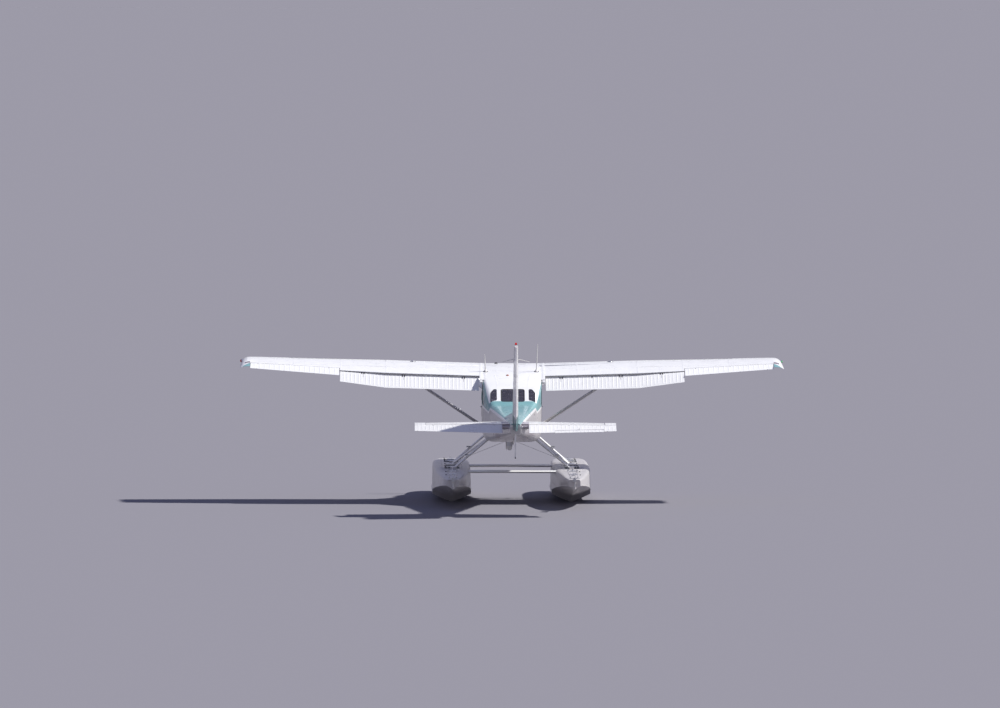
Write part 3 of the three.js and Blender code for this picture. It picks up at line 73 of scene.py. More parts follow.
# The airframe stands nose up over the level floats. Its own axes: x to port, station aft of the
# firewall, height above the belly line. The door's lower hinge ties them to the frame.
PITCH = math.radians(2)
AIR_TURN = Matrix.Rotation(-PITCH, 3, "X")
DOOR_HINGE = {"station": 0.474, "height": 0.56}
FLOAT_SHIFT = -2.5098

# Livery on the body, as station and height: the teal band's lower and upper edges
BAND_LOWER = [(-1.45, 0.60), (0, 0.71), (1.4, 0.775), (2.4, 0.82), (2.9, 0.76), (3.0, 0.845), (4.3, 0.832),
              (6.5, 0.79)]
BAND_UPPER = [(-1.45, 0.70), (0, 0.87), (1.3, 1.02), (2.24, 1.32), (2.4, 1.23), (2.56, 1.12), (2.7, 1.02),
              (2.88, 0.90), (2.9, 3.0), (6.5, 3.0)]
STRIPE = 0.042
FIN_EDGE = [(4.3, 1.16), (5.6, 1.06), (7.2, 0.93)]
CURVE_SPAN = {"station": (-1.5, 7.5), "height": (0, 3)}
# Wing tip, measured outward from its start: edges as station and slope
TIP = {"start": 5.29, "teal": (1.655, 1.17), "line": ((1.54, 0.3), (1.635, 0.2)), "line_end": 0.11}

WHITE = (0.84, 0.84, 0.825)
# A greyer white on the fin and stabilizer: partly the tail's own tone, partly painted shade on the fin's side
# and the stabilizer
TAIL_WHITE_AND_SHADE = (0.755, 0.75, 0.74)
# A duller white for the underside, floats and wing struts, made darker still as painted shade of the shaded
# struts and lower sides
LOWER_WHITE_AND_SHADE = (0.53, 0.51, 0.505)
FADED = (0.66, 0.66, 0.62)
GRIME = (0.42, 0.39, 0.34)
# Teal paint, paled partly as a painted reflection of the bright sky on the gloss
TEAL = (0.17, 0.37, 0.38)
DARK_TEAL = (0.03, 0.15, 0.155)
LINE = (0.10, 0.05, 0.08)
# Painted shade: the tailcone's underside darker towards its rear and bottom, where no light comes from below
TAILCONE_UNDERSIDE_SHADE = {"heights": (0.40, 0.60), "stations": (3, 4.2), "colour": (0.35, 0.295, 0.315)}
LINER = {"x": 0.574, "stations": (0.7, 2.22), "heights": (0.30, 1.33), "colour": (0.34, 0.33, 0.31)}
# Painted shade: a grey patch on the stabilizer's root beside the tailcone, where the root lies in shade
ROOT = {"reach": 0.27, "station": 5.75, "colour": (0.42, 0.38, 0.43)}


# Places and directions

SIDES = (("left", 1), ("right", -1))
PORT, AFT, UP = Vector((1, 0, 0)), Vector((0, 1, 0)), Vector((0, 0, 1))
INWARD, DOWN = -PORT, -UP


def air_step(x, station, height):
    """A step or direction given in the airframe's own axes"""
    return Vector((x, station * math.cos(PITCH) + height * math.sin(PITCH),
                   height * math.cos(PITCH) - station * math.sin(PITCH)))


hinge_place = Vector(next(j for j in frame["joints"] if j["name"] == "door_left_swing")["pos_m"])
AIR_ORIGIN = Vector((0, hinge_place.y, hinge_place.z)) - air_step(0, **DOOR_HINGE)


def air(x, station, height):
    """A place given in the airframe's own axes"""
    return AIR_ORIGIN + air_step(x, station, height)


def row(station):
    """The frame's y of a float station, which lies level"""
    return station + FLOAT_SHIFT


def trail(place, *steps):
    """Places at steps from a place"""
    return [place + Vector(step) for step in steps]


def evenly(low, high, count):
    """Evenly spaced numbers, from one end to the other"""
    return [low + (high - low) * k / (count - 1) for k in range(count)]


def spread(low, high, pitch):
    """Evenly spaced numbers about a pitch apart, half a pitch in from both ends"""
    count = max(1, round((high - low) / pitch))
    return [low + (high - low) * (i + 0.5) / count for i in range(count)]


# Mesh parts: lists of points and faces

def loft(rings, closed=False):
    count = len(rings[0])
    points = [Vector(p) for ring in rings for p in ring]
    faces = []
    for r in range(len(rings) - (0 if closed else 1)):
        below, above = r * count, ((r + 1) % len(rings)) * count
        for i in range(count):
            j = (i + 1) % count
            faces.append((below + i, below + j, above + j, above + i))
    if not closed:
        faces.append(tuple(range(count - 1, -1, -1)))
        faces.append(tuple(range(len(points) - count, len(points))))
    return points, faces


def across(direction):
    """Two unit vectors square to a direction and to each other"""
    direction = Vector(direction).normalized()
    u = direction.cross(UP if abs(direction.z) < 0.9 else AFT).normalized()
    return u, direction.cross(u).normalized()


def spokes(u, v, count):
    """Unit vectors evenly all round, in the plane of two others"""
    turns = (2 * math.pi * k / count for k in range(count))
    return [u * math.cos(a) + v * math.sin(a) for a in turns]


def ways_along(path, closed):
    """The way along a path at each of its points"""
    last = len(path) - 1
    for i in range(last + 1):
        before = path[i - 1] if i or closed else path[0]
        after = path[(i + 1) % len(path)] if i < last or closed else path[last]
        yield after - before


def tube(path, radius, sides=8, closed=False):
    """A round bar; radius is one number or a list with one for each point"""
    sizes = radius if isinstance(radius, list) else [radius] * len(path)
    u = across(path[1] - path[0])[0]
    rings = []
    for p, size, along in zip(path, sizes, ways_along(path, closed)):
        along.normalize()
        u = (u - along * u.dot(along)).normalized()
        rings.append([p + spoke * size for spoke in spokes(u, along.cross(u), sides)])
    return loft(rings, closed)


def lathe(profile, centre, axis, sides=24):
    """profile: radius and distance along the axis, from one flat end to the other"""
    axis = Vector(axis).normalized()
    around = spokes(*across(axis), sides)
    return loft([[centre + axis * along + spoke * radius for spoke in around] for radius, along in profile])


def block(centre, size, turn=Matrix.Identity(3)):
    x, y, z = (s / 2 for s in size)
    corners = [(-x, -y), (x, -y), (x, y), (-x, y)]
    return loft([[centre + turn @ Vector((a, b, h)) for a, b in corners] for h in (-z, z)])


# Sections of raised strips, as shares of their width and height
BEAD = [(-0.5, -0.3), (-0.5, 0), (-0.38, 0.6), (-0.15, 0.95), (0.15, 0.95), (0.38, 0.6), (0.5, 0),
        (0.5, -0.3)]
FLAT = [(-0.5, -1), (-0.5, 0.7), (-0.42, 1), (0.42, 1), (0.5, 0.7), (0.5, -1)]
BEAD_END = 0.35


def bead(path, normals, width, height, section=BEAD, closed=False):
    """A raised strip that lies on a surface along a path, lower at its ends"""
    rings = []
    for i, (p, n, along) in enumerate(zip(path, normals, ways_along(path, closed))):
        side = n.cross(along).normalized()
        top = height * (1 if closed or 0 < i < len(path) - 1 else BEAD_END)
        rings.append([p + side * (u * width) + n * (v * (top if v > 0 else height)) for u, v in section])
    return loft(rings, closed)


# Round fittings: number of sides, and profile as radius and height above the skin in millimetres
FITTINGS = {
    "bezel": (24, [(46, -4), (46, 6), (39.56, 8), (38.64, 2)]),
    "dial": (24, [(36.8, 0), (36.8, 3)]),
    "filler_cap": (28, [(52, -2), (52, 4), (44, 6), (40, 13), (12, 16)]),
    "inspection_cover": (24, [(62, -1), (62, 2), (52, 3)]),
    "nav_light_base": (20, [(40, 0), (40, 20), (30, 26)]),
    "nav_light": (20, [(28, 20), (28, 34), (20, 46), (8, 50)]),
    "tail_light": (16, [(16, -10), (16, 18), (10, 30), (4, 33)]),
    "landing_light_bezel": (28, [(78, -20), (78, 6), (66, 10), (64, -10)]),
    "landing_light_lens": (28, [(64, -10), (62, 3), (40, 11), (12, 14)]),
    "beacon_ring": (24, [(33, -4), (33, 8), (27, 12)]),
    "antenna_foot": (20, [(34, -12), (38, 0), (30, 16), (14, 45)]),
    "antenna_gasket": (20, [(50, -10), (50, 3), (42, 6)]),
    "roof_puck": (20, [(28, -4), (28, 8), (18, 16), (6, 18)]),
    "roof_vent": (20, [(34, -4), (32, 10), (20, 18), (8, 20)]),
    "handle_boss": (18, [(24, -4), (24, 6), (14, 10), (12, 26)]),
    "door_lock": (14, [(12, -3), (12, 3), (4, 4)]),
    "static_port": (16, [(18, -2), (18, 2), (6, 3)]),
    "horn_end": (12, [(8, -12), (12, 0), (8, 12)]),
    "hatch": (28, [(88, -4), (88, 5), (76, 8), (72, 5), (20, 6)]),
    "pump_plug": (14, [(17, -3), (17, 5), (11, 6), (9, 12)]),
    "post_cap": (16, [(22, -2), (22, 16), (12, 20)]),
    "cable_guide": (12, [(12, -24), (16, -4), (16, 6), (10, 8)]),
}


def fitting(kind, place, axis):
    sides, profile = FITTINGS[kind]
    return lathe([(radius / 1000, height / 1000) for radius, height in profile], place, axis, sides)


# Bent rods: number of sides, radii, and steps from their place as outward, aft and up
RODS = {
    "pitot_tube": (10, [0.012, 0.011, 0.011, 0.008], [(0, 0, 0.01), (0, 0, -0.10), (0, -0.03, -0.12),
                                                      (0, -0.24, -0.12)]),
    "fuel_vent": (8, 0.006, [(0, 0, 0.01), (0, 0.01, -0.05), (0, 0.05, -0.07)]),
    "wick": (6, [0.004, 0.0028, 0.0014], [(0, -0.02, 0.002), (0, 0.04, 0.003), (0, 0.11, -0.004)]),
    "door_grip": (8, [0.010, 0.009, 0.006], [(0.022, 0, 0), (0.026, -0.04, 0), (0.022, -0.12, -0.004)]),
    "tail_handle": (8, 0.006, [(-0.008, -0.07, 0), (0.04, -0.07, 0), (0.04, 0.07, 0), (-0.008, 0.07, 0)]),
    "cleat_post": (8, [0.014, 0.009], [(0, 0, -0.004), (0, 0, 0.035)]),
    "cleat_bar": (8, [0.006, 0.010, 0.010, 0.006], [(0, -0.10, 0.044), (0, -0.05, 0.036), (0, 0.05, 0.036),
                                                    (0, 0.10, 0.044)]),
}


def rod(kind, place, way=1):
    sides, radii, steps = RODS[kind]
    return tube(trail(place, *((way * out, aft, up) for out, aft, up in steps)), radii, sides)


# Surfaces of the frame's nodes

MERGE = 1e-5
# Angles in degrees above which an edge is sharp; below the flat angle two faces are joined into one
SHARP = {"pane": 50, "piece": 35, "skin": 30, "cushion": 60, "bevelled": 40}
FLAT_ANGLE = math.radians(0.6)
# A ray takes only a face whose normal, as a share along the ray, is below this
FACING, RIVET_FACING = -0.2, -0.25
trees = {}


def cast(node, origin, direction):
    """Where a ray meets a node, with the normal there, or None"""
    if node not in trees:
        mesh = frame["nodes"][node].data
        trees[node] = BVHTree.FromPolygons([v.co for v in mesh.vertices], [p.vertices for p in mesh.polygons])
    place, normal, _, _ = trees[node].ray_cast(Vector(origin), Vector(direction).normalized())
    return (place, normal) if place is not None else None


# Where single fittings lie: the node, and a ray toward it. The ray has its start, as x, station and height
# on the port side, and its direction
SPOTS = {
    "filler_cap": ("wing_{}", (2.0, 1.02, 2.6), DOWN),
    "tie_down": ("wing_{}", (2.42, 1.0, 1.0), UP),
    "pitot_tube": ("wing_{}", (2.75, 0.95, 1.0), UP),
    "fuel_vent": ("wing_{}", (2.15, 1.05, 1.0), UP),
    "stall_vane": ("wing_{}", (3.3, 0.4, 1.515), air_step(0, 1, 0)),
    "nav_light": ("wingtip_{}", (6, 0.98, 1.62), INWARD),
    "tail_light": ("rudder", (0, 8, 1.02), -AFT),
    "landing_light": ("engine_cowl", (0, -3, 0.475), AFT),
    "roof_puck": ("cabin_shell", (0.095, 1.97, 2.4), DOWN),
    "roof_vent": ("cabin_shell", (0.314, 1.0, 2.4), DOWN),
    "static_port": ("cabin_shell", (2, 0.28, 0.76), INWARD),
    "door_handle": ("door_{}", (2, 1.24, 0.72), INWARD),
    "door_lock": ("door_{}", (2, 1.27, 0.64), INWARD),
    "cable_exit": ("tailcone", (2, 5.15, 0.70), INWARD),
    "tail_handle": ("tailcone", (2, 5.5, 0.62), INWARD),
}


def spot(name, label="left", way=1):
    """A fitting's place on one side of the airframe, with the normal there"""
    node, (x, station, height), direction = SPOTS[name]
    return cast(node.format(label), air(way * x, station, height), (way * direction.x, *direction.yz))


def strip(node, start, end, direction, steps, width, height, section=BEAD, trim=(0, 0)):
    """A bead where rays from a line beside a node meet it, less the two trims as shares of its length"""
    direction = Vector(direction).normalized()
    hits = [cast(node, start.lerp(end, share), direction) for share in evenly(0, 1, steps * 4 + 1)]
    hits = [hit for hit in hits if hit and hit[1].dot(direction) < FACING]
    if len(hits) < 4:
        return []
    low, high = int(trim[0] * (len(hits) - 1)), int((1 - trim[1]) * (len(hits) - 1))
    picked = [hits[low + round((high - low) * k / steps)] for k in range(steps + 1)]
    return [bead(*zip(*picked), width, height, section)]


def body_of(node):
    return frame["nodes"][node]["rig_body"]


def welded(node):
    """A copy of a node's mesh with its faces joined"""
    shape = bmesh.new()
    shape.from_mesh(frame["nodes"][node].data)
    bmesh.ops.remove_doubles(shape, verts=shape.verts, dist=MERGE)
    return shape


def skins(shape):
    """Patches of a shape's faces between its sharp edges, largest first"""
    seen, patches = set(), []
    for face in shape.faces:
        if face in seen:
            continue
        patch, queue = [], [face]
        seen.add(face)
        while queue:
            here = queue.pop()
            patch.append(here)
            for edge in here.edges:
                if len(edge.link_faces) == 2 and edge.calc_face_angle() < math.radians(SHARP["pane"]):
                    fresh = [other for other in edge.link_faces if other not in seen]
                    seen.update(fresh)
                    queue += fresh
        patches.append(patch)
    patches.sort(key=lambda p: -sum(f.calc_area() for f in p))
    return patches


def rim(node, middle):
    """The border loop of the outer one of a pane's two skins, with the skin's normals"""
    def distance(patch):
        return sum((face.calc_center_median() - middle).length for face in patch) / len(patch)

    shape = welded(node)
    outer = set(max(skins(shape)[:2], key=distance))
    following, normals = {}, {}
    for face in outer:
        for loop in face.loops:
            if any(f not in outer for f in loop.edge.link_faces):
                following[loop.vert] = loop.link_loop_next.vert
                normals[loop.vert] = face.normal.copy()
    start = here = next(iter(following))
    path, marks = [], []
    while len(path) <= len(following):
        path.append(here.co.copy())
        marks.append(normals[here])
        here = following[here]
        if here == start:
            break
    shape.free()
    return path, marks


# Materials

class Field:
    """A number, colour or place that varies over a surface: an output of a shader node"""

    def __init__(self, socket):
        self.socket = socket
        self.tree = socket.id_data

    def maths(self, operation, *others):
        return field(self.tree, "ShaderNodeMath", dict(enumerate((self, *others))), operation=operation)

    __add__ = partialmethod(maths, "ADD")
    __sub__ = partialmethod(maths, "SUBTRACT")
    __mul__ = partialmethod(maths, "MULTIPLY")
    __gt__ = partialmethod(maths, "GREATER_THAN")
    __lt__ = partialmethod(maths, "LESS_THAN")
    __abs__ = partialmethod(maths, "ABSOLUTE")

    def ranged(self, low, high, new_low, new_high):
        return field(self.tree, "ShaderNodeMapRange", {
            "Value": self, "From Min": low, "From Max": high, "To Min": new_low, "To Max": new_high,
        })

    def within(self, limits):
        return (self > limits[0]) * (self < limits[1])


def plug(tree, socket, value):
    """Links a field to a socket, or sets a plain value on it"""
    if isinstance(value, Field):
        tree.links.new(value.socket, socket)
    elif socket.type == "RGBA":
        socket.default_value = (*value, 1)
    else:
        socket.default_value = value


def add(tree, kind, inputs, **settings):
    made = tree.nodes.new(kind)
    for key, value in settings.items():
        setattr(made, key, value)
    for key, value in inputs.items():
        plug(tree, made.inputs[key], value)
    return made


def field(tree, kind, inputs, output=0, **settings):
    return Field(add(tree, kind, inputs, **settings).outputs[output])


def mixed(factor, a, b):
    return field(factor.tree, "ShaderNodeMix", {0: factor, 6: a, 7: b}, 2, data_type="RGBA")


def local_place(tree):
    return field(tree, "ShaderNodeTexCoord", {}, "Object")


def stretched(tree, scale):
    return field(tree, "ShaderNodeMapping", {"Vector": local_place(tree), "Scale": scale})


def air_place(tree):
    """x, station and height of a place on the surface"""
    place = field(tree, "ShaderNodeMapping", {
        "Vector": local_place(tree), "Location": AIR_ORIGIN, "Rotation": (-PITCH, 0, 0),
    }, vector_type="TEXTURE")
    return [Field(axis) for axis in add(tree, "ShaderNodeSeparateXYZ", {0: place}).outputs]


def edge_height(station, points):
    """Height of a livery edge at a station, straight between its points"""
    (s0, s1), (h0, h1) = CURVE_SPAN["station"], CURVE_SPAN["height"]
    made = add(station.tree, "ShaderNodeFloatCurve", {"Value": station.ranged(s0, s1, 0, 1)})
    curve = made.mapping.curves[0]
    places = [((s - s0) / (s1 - s0), (h - h0) / (h1 - h0)) for s, h in points]
    curve.points[0].location = (0, places[0][1])
    curve.points[1].location = (1, places[-1][1])
    for place in places:
        curve.points.new(*place)
    for point in curve.points:
        point.handle_type = "VECTOR"
    made.mapping.update()
    return Field(made.outputs[0]).ranged(0, 1, h0, h1)


def noise(tree, scale, detail=3, roughness=0.5, place=None):
    return field(tree, "ShaderNodeTexNoise", {
        "Scale": scale, "Detail": detail, "Roughness": roughness, "Vector": place or local_place(tree),
    }, "Fac")


def bump(height, distance, strength, **coarser):
    return field(height.tree, "ShaderNodeBump", {
        "Height": height, "Distance": distance, "Strength": strength, **coarser,
    })


def shaded(colour, share):
    return tuple(c * share for c in colour)


def new_material(name):
    made = bpy.data.materials.new(name)
    made.use_nodes = True
    return made, made.node_tree


def connect(tree, **sockets):
    for key, value in sockets.items():
        plug(tree, tree.nodes["Principled BSDF"].inputs[key.replace("_", " ")], value)


def paint(name, colour_of, rough=0.3):
    """Glossy paint over riveted sheet: fading, long streaks of grime, faint waves and a fine orange peel"""
    made, tree = new_material(name)
    faded = mixed(noise(tree, 1.7, 4).ranged(0.35, 0.7, 0, 0.08), colour_of(tree), FADED)
    streak = noise(tree, 1.3, 5, 0.6, stretched(tree, (9, 1.2, 9))).ranged(0.58, 0.80, 0, 0.14)
    waves = bump(noise(tree, 5, 2), 0.0035, 0.5)
    connect(tree, Base_Color=mixed(streak, faded, GRIME), Coat_Weight=0.35, Coat_Roughness=0.08,
            Roughness=noise(tree, 6, 4).ranged(0.3, 0.7, rough - 0.06, rough + 0.14),
            Normal=bump(noise(tree, 420, 2), 0.0002, 0.25, Normal=waves))
    return made


def body_colour(tree):
    """White with a teal band, a duller underside that is partly painted shade, more painted shade under the
    tailcone's rear, and a liner inside the cabin
    """
    x, station, height = air_place(tree)
    lower = edge_height(station, BAND_LOWER)
    in_band = (height > lower) * (height < edge_height(station, BAND_UPPER))
    underside_shade = height.ranged(*TAILCONE_UNDERSIDE_SHADE["heights"], 1, 0) * station.ranged(*TAILCONE_UNDERSIDE_SHADE["stations"], 0, 1)
    base = mixed(height < lower - STRIPE, WHITE, mixed(underside_shade, LOWER_WHITE_AND_SHADE, TAILCONE_UNDERSIDE_SHADE["colour"]))
    inside = (abs(x) < LINER["x"]) * station.within(LINER["stations"]) * height.within(LINER["heights"])
    return mixed(inside, mixed(in_band, base, TEAL), LINER["colour"])


# The fin's greyed white is partly painted shade; dark teal below the livery edge
def fin_colour(tree):
    _, station, height = air_place(tree)
    return mixed(height < edge_height(station, FIN_EDGE), TAIL_WHITE_AND_SHADE, DARK_TEAL)


def stabilizer_colour(tree):
    """Greyed white that is partly painted shade, and a grey patch of painted shade beside the tailcone, where
    the root lies in shade
    """
    x, station, _ = air_place(tree)
    return mixed((abs(x) < ROOT["reach"]) * (station > ROOT["station"]), TAIL_WHITE_AND_SHADE, ROOT["colour"])


def tip_colour(tree):
    """White with a teal rear corner and a short dark line ahead of it"""
    x, station, _ = air_place(tree)
    out = abs(x) - TIP["start"]
    front, rear, corner = (station > out * slope + start for start, slope in (*TIP["line"], TIP["teal"]))
    return mixed(corner, mixed((front - rear) * (out < TIP["line_end"]), WHITE, LINE), TEAL)


def metal(name, colour, rough):
    """Brushed metal with faint stains"""
    made, tree = new_material(name)
    grain = stretched(tree, (60, 4, 4))
    connect(tree, Metallic=1.0,
            Base_Color=mixed(noise(tree, 8, 4).ranged(0.4, 0.75, 0, 0.35), colour, shaded(colour, 0.55)),
            Roughness=noise(tree, 5, 3, 0.6, grain).ranged(0.3, 0.7, rough - 0.06, rough + 0.16),
            Normal=bump(noise(tree, 30, 3, 0.6, grain), 0.0003, 0.4))
    return made


BLADE = {"hub": air(0, -1.25, 0.64), "boot": (0.25, 0.40), "tip": 0.94, "boot_colour": (0.025, 0.025, 0.028),
         "tip_colour": (0.75, 0.75, 0.73)}


def blade_metal(name, colour, rough):
    """Satin metal with a rubber boot near the root and a painted tip, by the distance from the hub"""
    made, tree = new_material(name)
    ends = {0: local_place(tree), 1: BLADE["hub"]}
    span = field(tree, "ShaderNodeVectorMath", ends, "Value", operation="DISTANCE")
    boot, tip = span.within(BLADE["boot"]), span > BLADE["tip"]
    stain = mixed(noise(tree, 8, 4).ranged(0.4, 0.75, 0, 0.25), colour, shaded(colour, 0.75))
    wear = noise(tree, 12, 4).ranged(0.3, 0.7, rough - 0.06, rough + 0.14)
    connect(tree, Metallic=boot + tip < 0.5, Roughness=wear + boot * 0.3,
            Base_Color=mixed(tip, mixed(boot, stain, BLADE["boot_colour"]), BLADE["tip_colour"]),
            Normal=bump(noise(tree, 90, 3), 0.0002, 0.4))
    return made


def dull(name, colour, rough=0.7, grain=300, depth=0.0004):
    """Rubber, plastic and matt paint"""
    made, tree = new_material(name)
    paler = tuple(min(1, c * 1.7 + 0.02) for c in colour)
    connect(tree, Base_Color=mixed(noise(tree, 9, 4).ranged(0.4, 0.8, 0, 0.5), colour, paler),
            Roughness=noise(tree, 14, 3).ranged(0.3, 0.7, rough - 0.1, rough + 0.1),
            Normal=bump(noise(tree, grain, 2), depth, 0.6))
    return made


def glass(name, tint, rough=0.03, clear=1.0):
    made, tree = new_material(name)
    connect(tree, Base_Color=mixed(noise(tree, 3, 3).ranged(0.4, 0.7, 0, 0.3), tint, shaded(tint, 0.8)),
            Transmission_Weight=clear, IOR=1.49, Roughness=rough,
            Normal=bump(noise(tree, 2.5, 2), 0.002, 0.3))
    return made


def weave(name, colour):
    made, tree = new_material(name)
    x, y, z = (field(tree, "ShaderNodeTexWave", {"Vector": local_place(tree), "Scale": 260}, "Fac",
                     bands_direction=axis) for axis in "XYZ")
    cloth = x * y + z
    connect(tree, Roughness=0.9, Sheen_Weight=0.4,
            Base_Color=mixed(cloth.ranged(0.2, 1.4, 0, 0.5), shaded(colour, 0.7), colour),
            Normal=bump(cloth, 0.0006, 0.6))
    return made


# Finish: its material and the record's slot
materials = {
    "body": (paint("body_paint_and_shade", body_colour), "white_paint"),
    "white": (paint("white_paint", lambda tree: WHITE), "white_paint"),
    "fin": (paint("fin_paint_and_shade", fin_colour), "white_paint"),
    "stabilizer": (paint("stabilizer_paint_and_shade", stabilizer_colour), "white_paint"),
    "tip": (paint("tip_paint", tip_colour), "teal_paint"),
    # The floats' paint, also on the wing struts and their cuffs, is partly painted shade
    "float": (paint("float_paint_and_shade", lambda tree: LOWER_WHITE_AND_SHADE, 0.38), "white_paint"),
    "glass": (glass("smoked_glazing", (0.60, 0.55, 0.62), 0.03, 0.94), "glazing"),
    "steel": (metal("satin_steel", (0.60, 0.61, 0.62), 0.32), "steel"),
    "blade": (blade_metal("satin_blade", (0.66, 0.67, 0.69), 0.30), "propeller_metal"),
    "aluminium": (metal("bare_aluminium", (0.78, 0.79, 0.80), 0.28), "steel"),
    "rubber": (dull("rubber", (0.02, 0.02, 0.022), 0.75), "panel_plastic"),
    "plastic": (dull("panel_plastic", (0.05, 0.05, 0.055), 0.6), "panel_plastic"),
    "dial": (dull("dial_face", (0.55, 0.55, 0.52), 0.5), "panel_plastic"),
    "grip": (dull("walkway_grip", (0.10, 0.105, 0.11), 0.9, 900, 0.0012), "panel_plastic"),
    "rust": (dull("primer_brown", (0.30, 0.10, 0.06), 0.6), "panel_plastic"),
    "cream": (dull("antenna_cream", (0.70, 0.68, 0.64), 0.45), "white_paint"),
    "seat": (weave("seat_fabric", (0.20, 0.23, 0.25)), "seat_fabric"),
    "red_lens": (glass("red_lens", (0.75, 0.02, 0.015), 0.08), "beacon_lens"),
    "green_lens": (glass("green_lens", (0.02, 0.5, 0.12), 0.08), "beacon_lens"),
    "clear_lens": (glass("clear_lens", (0.9, 0.9, 0.9), 0.05), "beacon_lens"),
}


# Pieces

def linked(name, data):
    obj = bpy.data.objects.new(name, data)
    bpy.context.scene.collection.objects.link(obj)
    return obj


def finished(name, shape, finish, body, sharp, bevel=0):
    """A mesh object from a bmesh, smooth but for its sharp edges"""
    mesh = bpy.data.meshes.new(name)
    shape.to_mesh(mesh)
    shape.free()
    obj = linked(name, mesh)
    material, slot_name = materials[finish]
    mesh.materials.append(material)
    mesh.shade_smooth()
    mesh.set_sharp_from_angle(angle=math.radians(SHARP[sharp]))
    if bevel:
        modifier = obj.modifiers.new("edges", "BEVEL")
        modifier.width, modifier.segments = bevel, 2
        modifier.limit_method, modifier.angle_limit = "ANGLE", math.radians(SHARP["bevelled"])
        modifier.harden_normals = True
    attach(obj, body)
    return obj


def piece(name, parts, finish, body="airframe", bevel=0):
    shape = bmesh.new()
    for points, faces in parts:
        verts = [shape.verts.new(p) for p in points]
        for face in faces:
            shape.faces.new([verts[i] for i in face])
    bmesh.ops.recalc_face_normals(shape, faces=shape.faces)
    return finished(name, shape, finish, body, "piece", bevel)


def dressed(node, finish):
    """A smooth-shaded skin of the same shape, in the node's place"""
    shape = welded(node)
    bmesh.ops.dissolve_limit(shape, angle_limit=FLAT_ANGLE, verts=shape.verts, edges=shape.edges)
    obj = finished("skin_" + node, shape, finish, body_of(node), "skin")
    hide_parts(node)


def recoated(node, finish):
    material, slot_name = materials[finish]
    obj = frame["nodes"][node]
    obj.data.materials.clear()
    obj.data.materials.append(material)


def both(*names):
    return [f"{name}_{label}" for name in names for label, _ in SIDES]


# Finish, and the nodes that a skin in that finish stands for
DRESSED = (
    ("body", ["cabin_shell", "tailcone", "engine_cowl"]),
    ("fin", ["fin", "rudder"]),
    ("stabilizer", ["stabilizer", "elevator", "trim_tab"]),
    ("white", ["spinner", "ventral_fin", "spreader_front", "spreader_rear"]),
    ("blade", ["propeller"]),
    ("red_lens", ["beacon"]),
    ("glass", ["windshield", "window_back"]),
    ("body", both("door")),
    ("tip", both("wingtip")),
    ("white", both("wing", "flap", "aileron", "gear_strut_front", "gear_strut_rear", "gear_strut_diagonal")),
    # The wing struts take the float paint, which is partly painted shade
    ("float", both("float", "wing_strut")),
    ("steel", both("water_rudder_post")),
    ("aluminium", both("water_rudder_blade")),
    ("glass", both("window_quarter", "window_mid", "window_rear", "door_window")),
)


def dress_frame():
    for finish, nodes in DRESSED:
        for node in nodes:
            dressed(node, finish)
    recoated("engine", "steel")
    recoated("instrument_panel", "plastic")


# Sheet metal: beads, lap seams and rivet heads

RIVET = [(0.005, -0.0006), (0.003, 0.0022)]  # its profile, as radius and height
RIVET_PITCH = 0.055
JUMP = 0.05  # a row of rivets leaves out places that lie farther than this behind the last one
SEAM = (0.024, 0.0013, FLAT)  # width, height, section
SEAM_TRIM = (0.01, 0.01)
HOOP_STEPS, HOOP_RIVETS, DEGREES_PER_RIVET = 56, (-0.022, 0.022), 6
ROUND = (0, 360)


def rivet(place, normal, size=1):
    return lathe([(radius * size, height * size) for radius, height in RIVET], place, normal, 6)


def rivet_row(node, start, end, direction, pitch=RIVET_PITCH, size=1):
    direction = Vector(direction).normalized()
    heads, last = [], None
    for share in evenly(0, 1, max(1, round((end - start).length / pitch)) + 1):
        hit = cast(node, start.lerp(end, share), direction)
        if not hit or hit[1].dot(direction) > RIVET_FACING:
            continue
        depth = hit[0].dot(direction)
        if last is None or abs(depth - last) <= JUMP:
            last = depth
            heads.append(rivet(*hit, size))
    return heads


def seam(node, start, end, direction, steps=24):
    return strip(node, start, end, direction, steps, *SEAM, SEAM_TRIM)


def ring_hits(node, station, height, arc, count):
    """Hits from all round a body section, over an arc in degrees from port, over the top"""
    centre = air(0, station, height)
    gaps = count if arc[1] - arc[0] == 360 else count - 1
    turns = [math.radians(arc[0] + (arc[1] - arc[0]) * i / gaps) for i in range(count)]
    outward = [air_step(math.cos(a), 0, math.sin(a)) for a in turns]
    return [hit for out in outward if (hit := cast(node, centre + out * 1.3, -out))]


def hoop(node, station, height, arc):
    """A lap seam round a body section with a row of rivets on each side of it"""
    parts = [bead(*zip(*ring_hits(node, station, height, arc, HOOP_STEPS)), *SEAM, arc == ROUND)]
    heads = (arc[1] - arc[0]) // DEGREES_PER_RIVET
    for shift in HOOP_RIVETS:
        parts += [rivet(*hit) for hit in ring_hits(node, station + shift, height, arc, heads)]
    return parts


def mirrored(way, node, lines):
    """Strips, seams and rows of rivets on one side of a node, from lines that are given for the port side"""
    parts = []
    for kind, start, end, direction, *more in lines:
        ends = [air(way * x, station, height) for x, station, height in (start, end)]
        parts += kind(node, *ends, (way * direction.x, *direction.yz), *more)
    return parts


def on_skins(kind, heights, lines, *more):
    """Lines on an upper and a lower skin, from a height above and one below and both ends' x and station"""
    return [(kind, (*start, height), (*end, height), direction, *more)
            for height, direction in zip(heights, (DOWN, UP)) for start, end in lines]


# Hoops: node, stations, height of their centre, arc in degrees from port over the top
HOOPS = (
    ("tailcone", (3.06, 3.62, 4.18, 4.74, 5.30, 5.80), 0.58, ROUND),
    ("cabin_shell", (1.70,), 0.9, (42, 138)),
    ("cabin_shell", (0.16, 1.36, 1.92), 0.4, (200, 340)),
    ("engine_cowl", (-0.70, -0.04), 0.56, ROUND),
)
# Heights above and below, from which lines on the wing and the tailplane are cast
WING, TAIL = (2.6, 0.9), (1.5, 0.1)
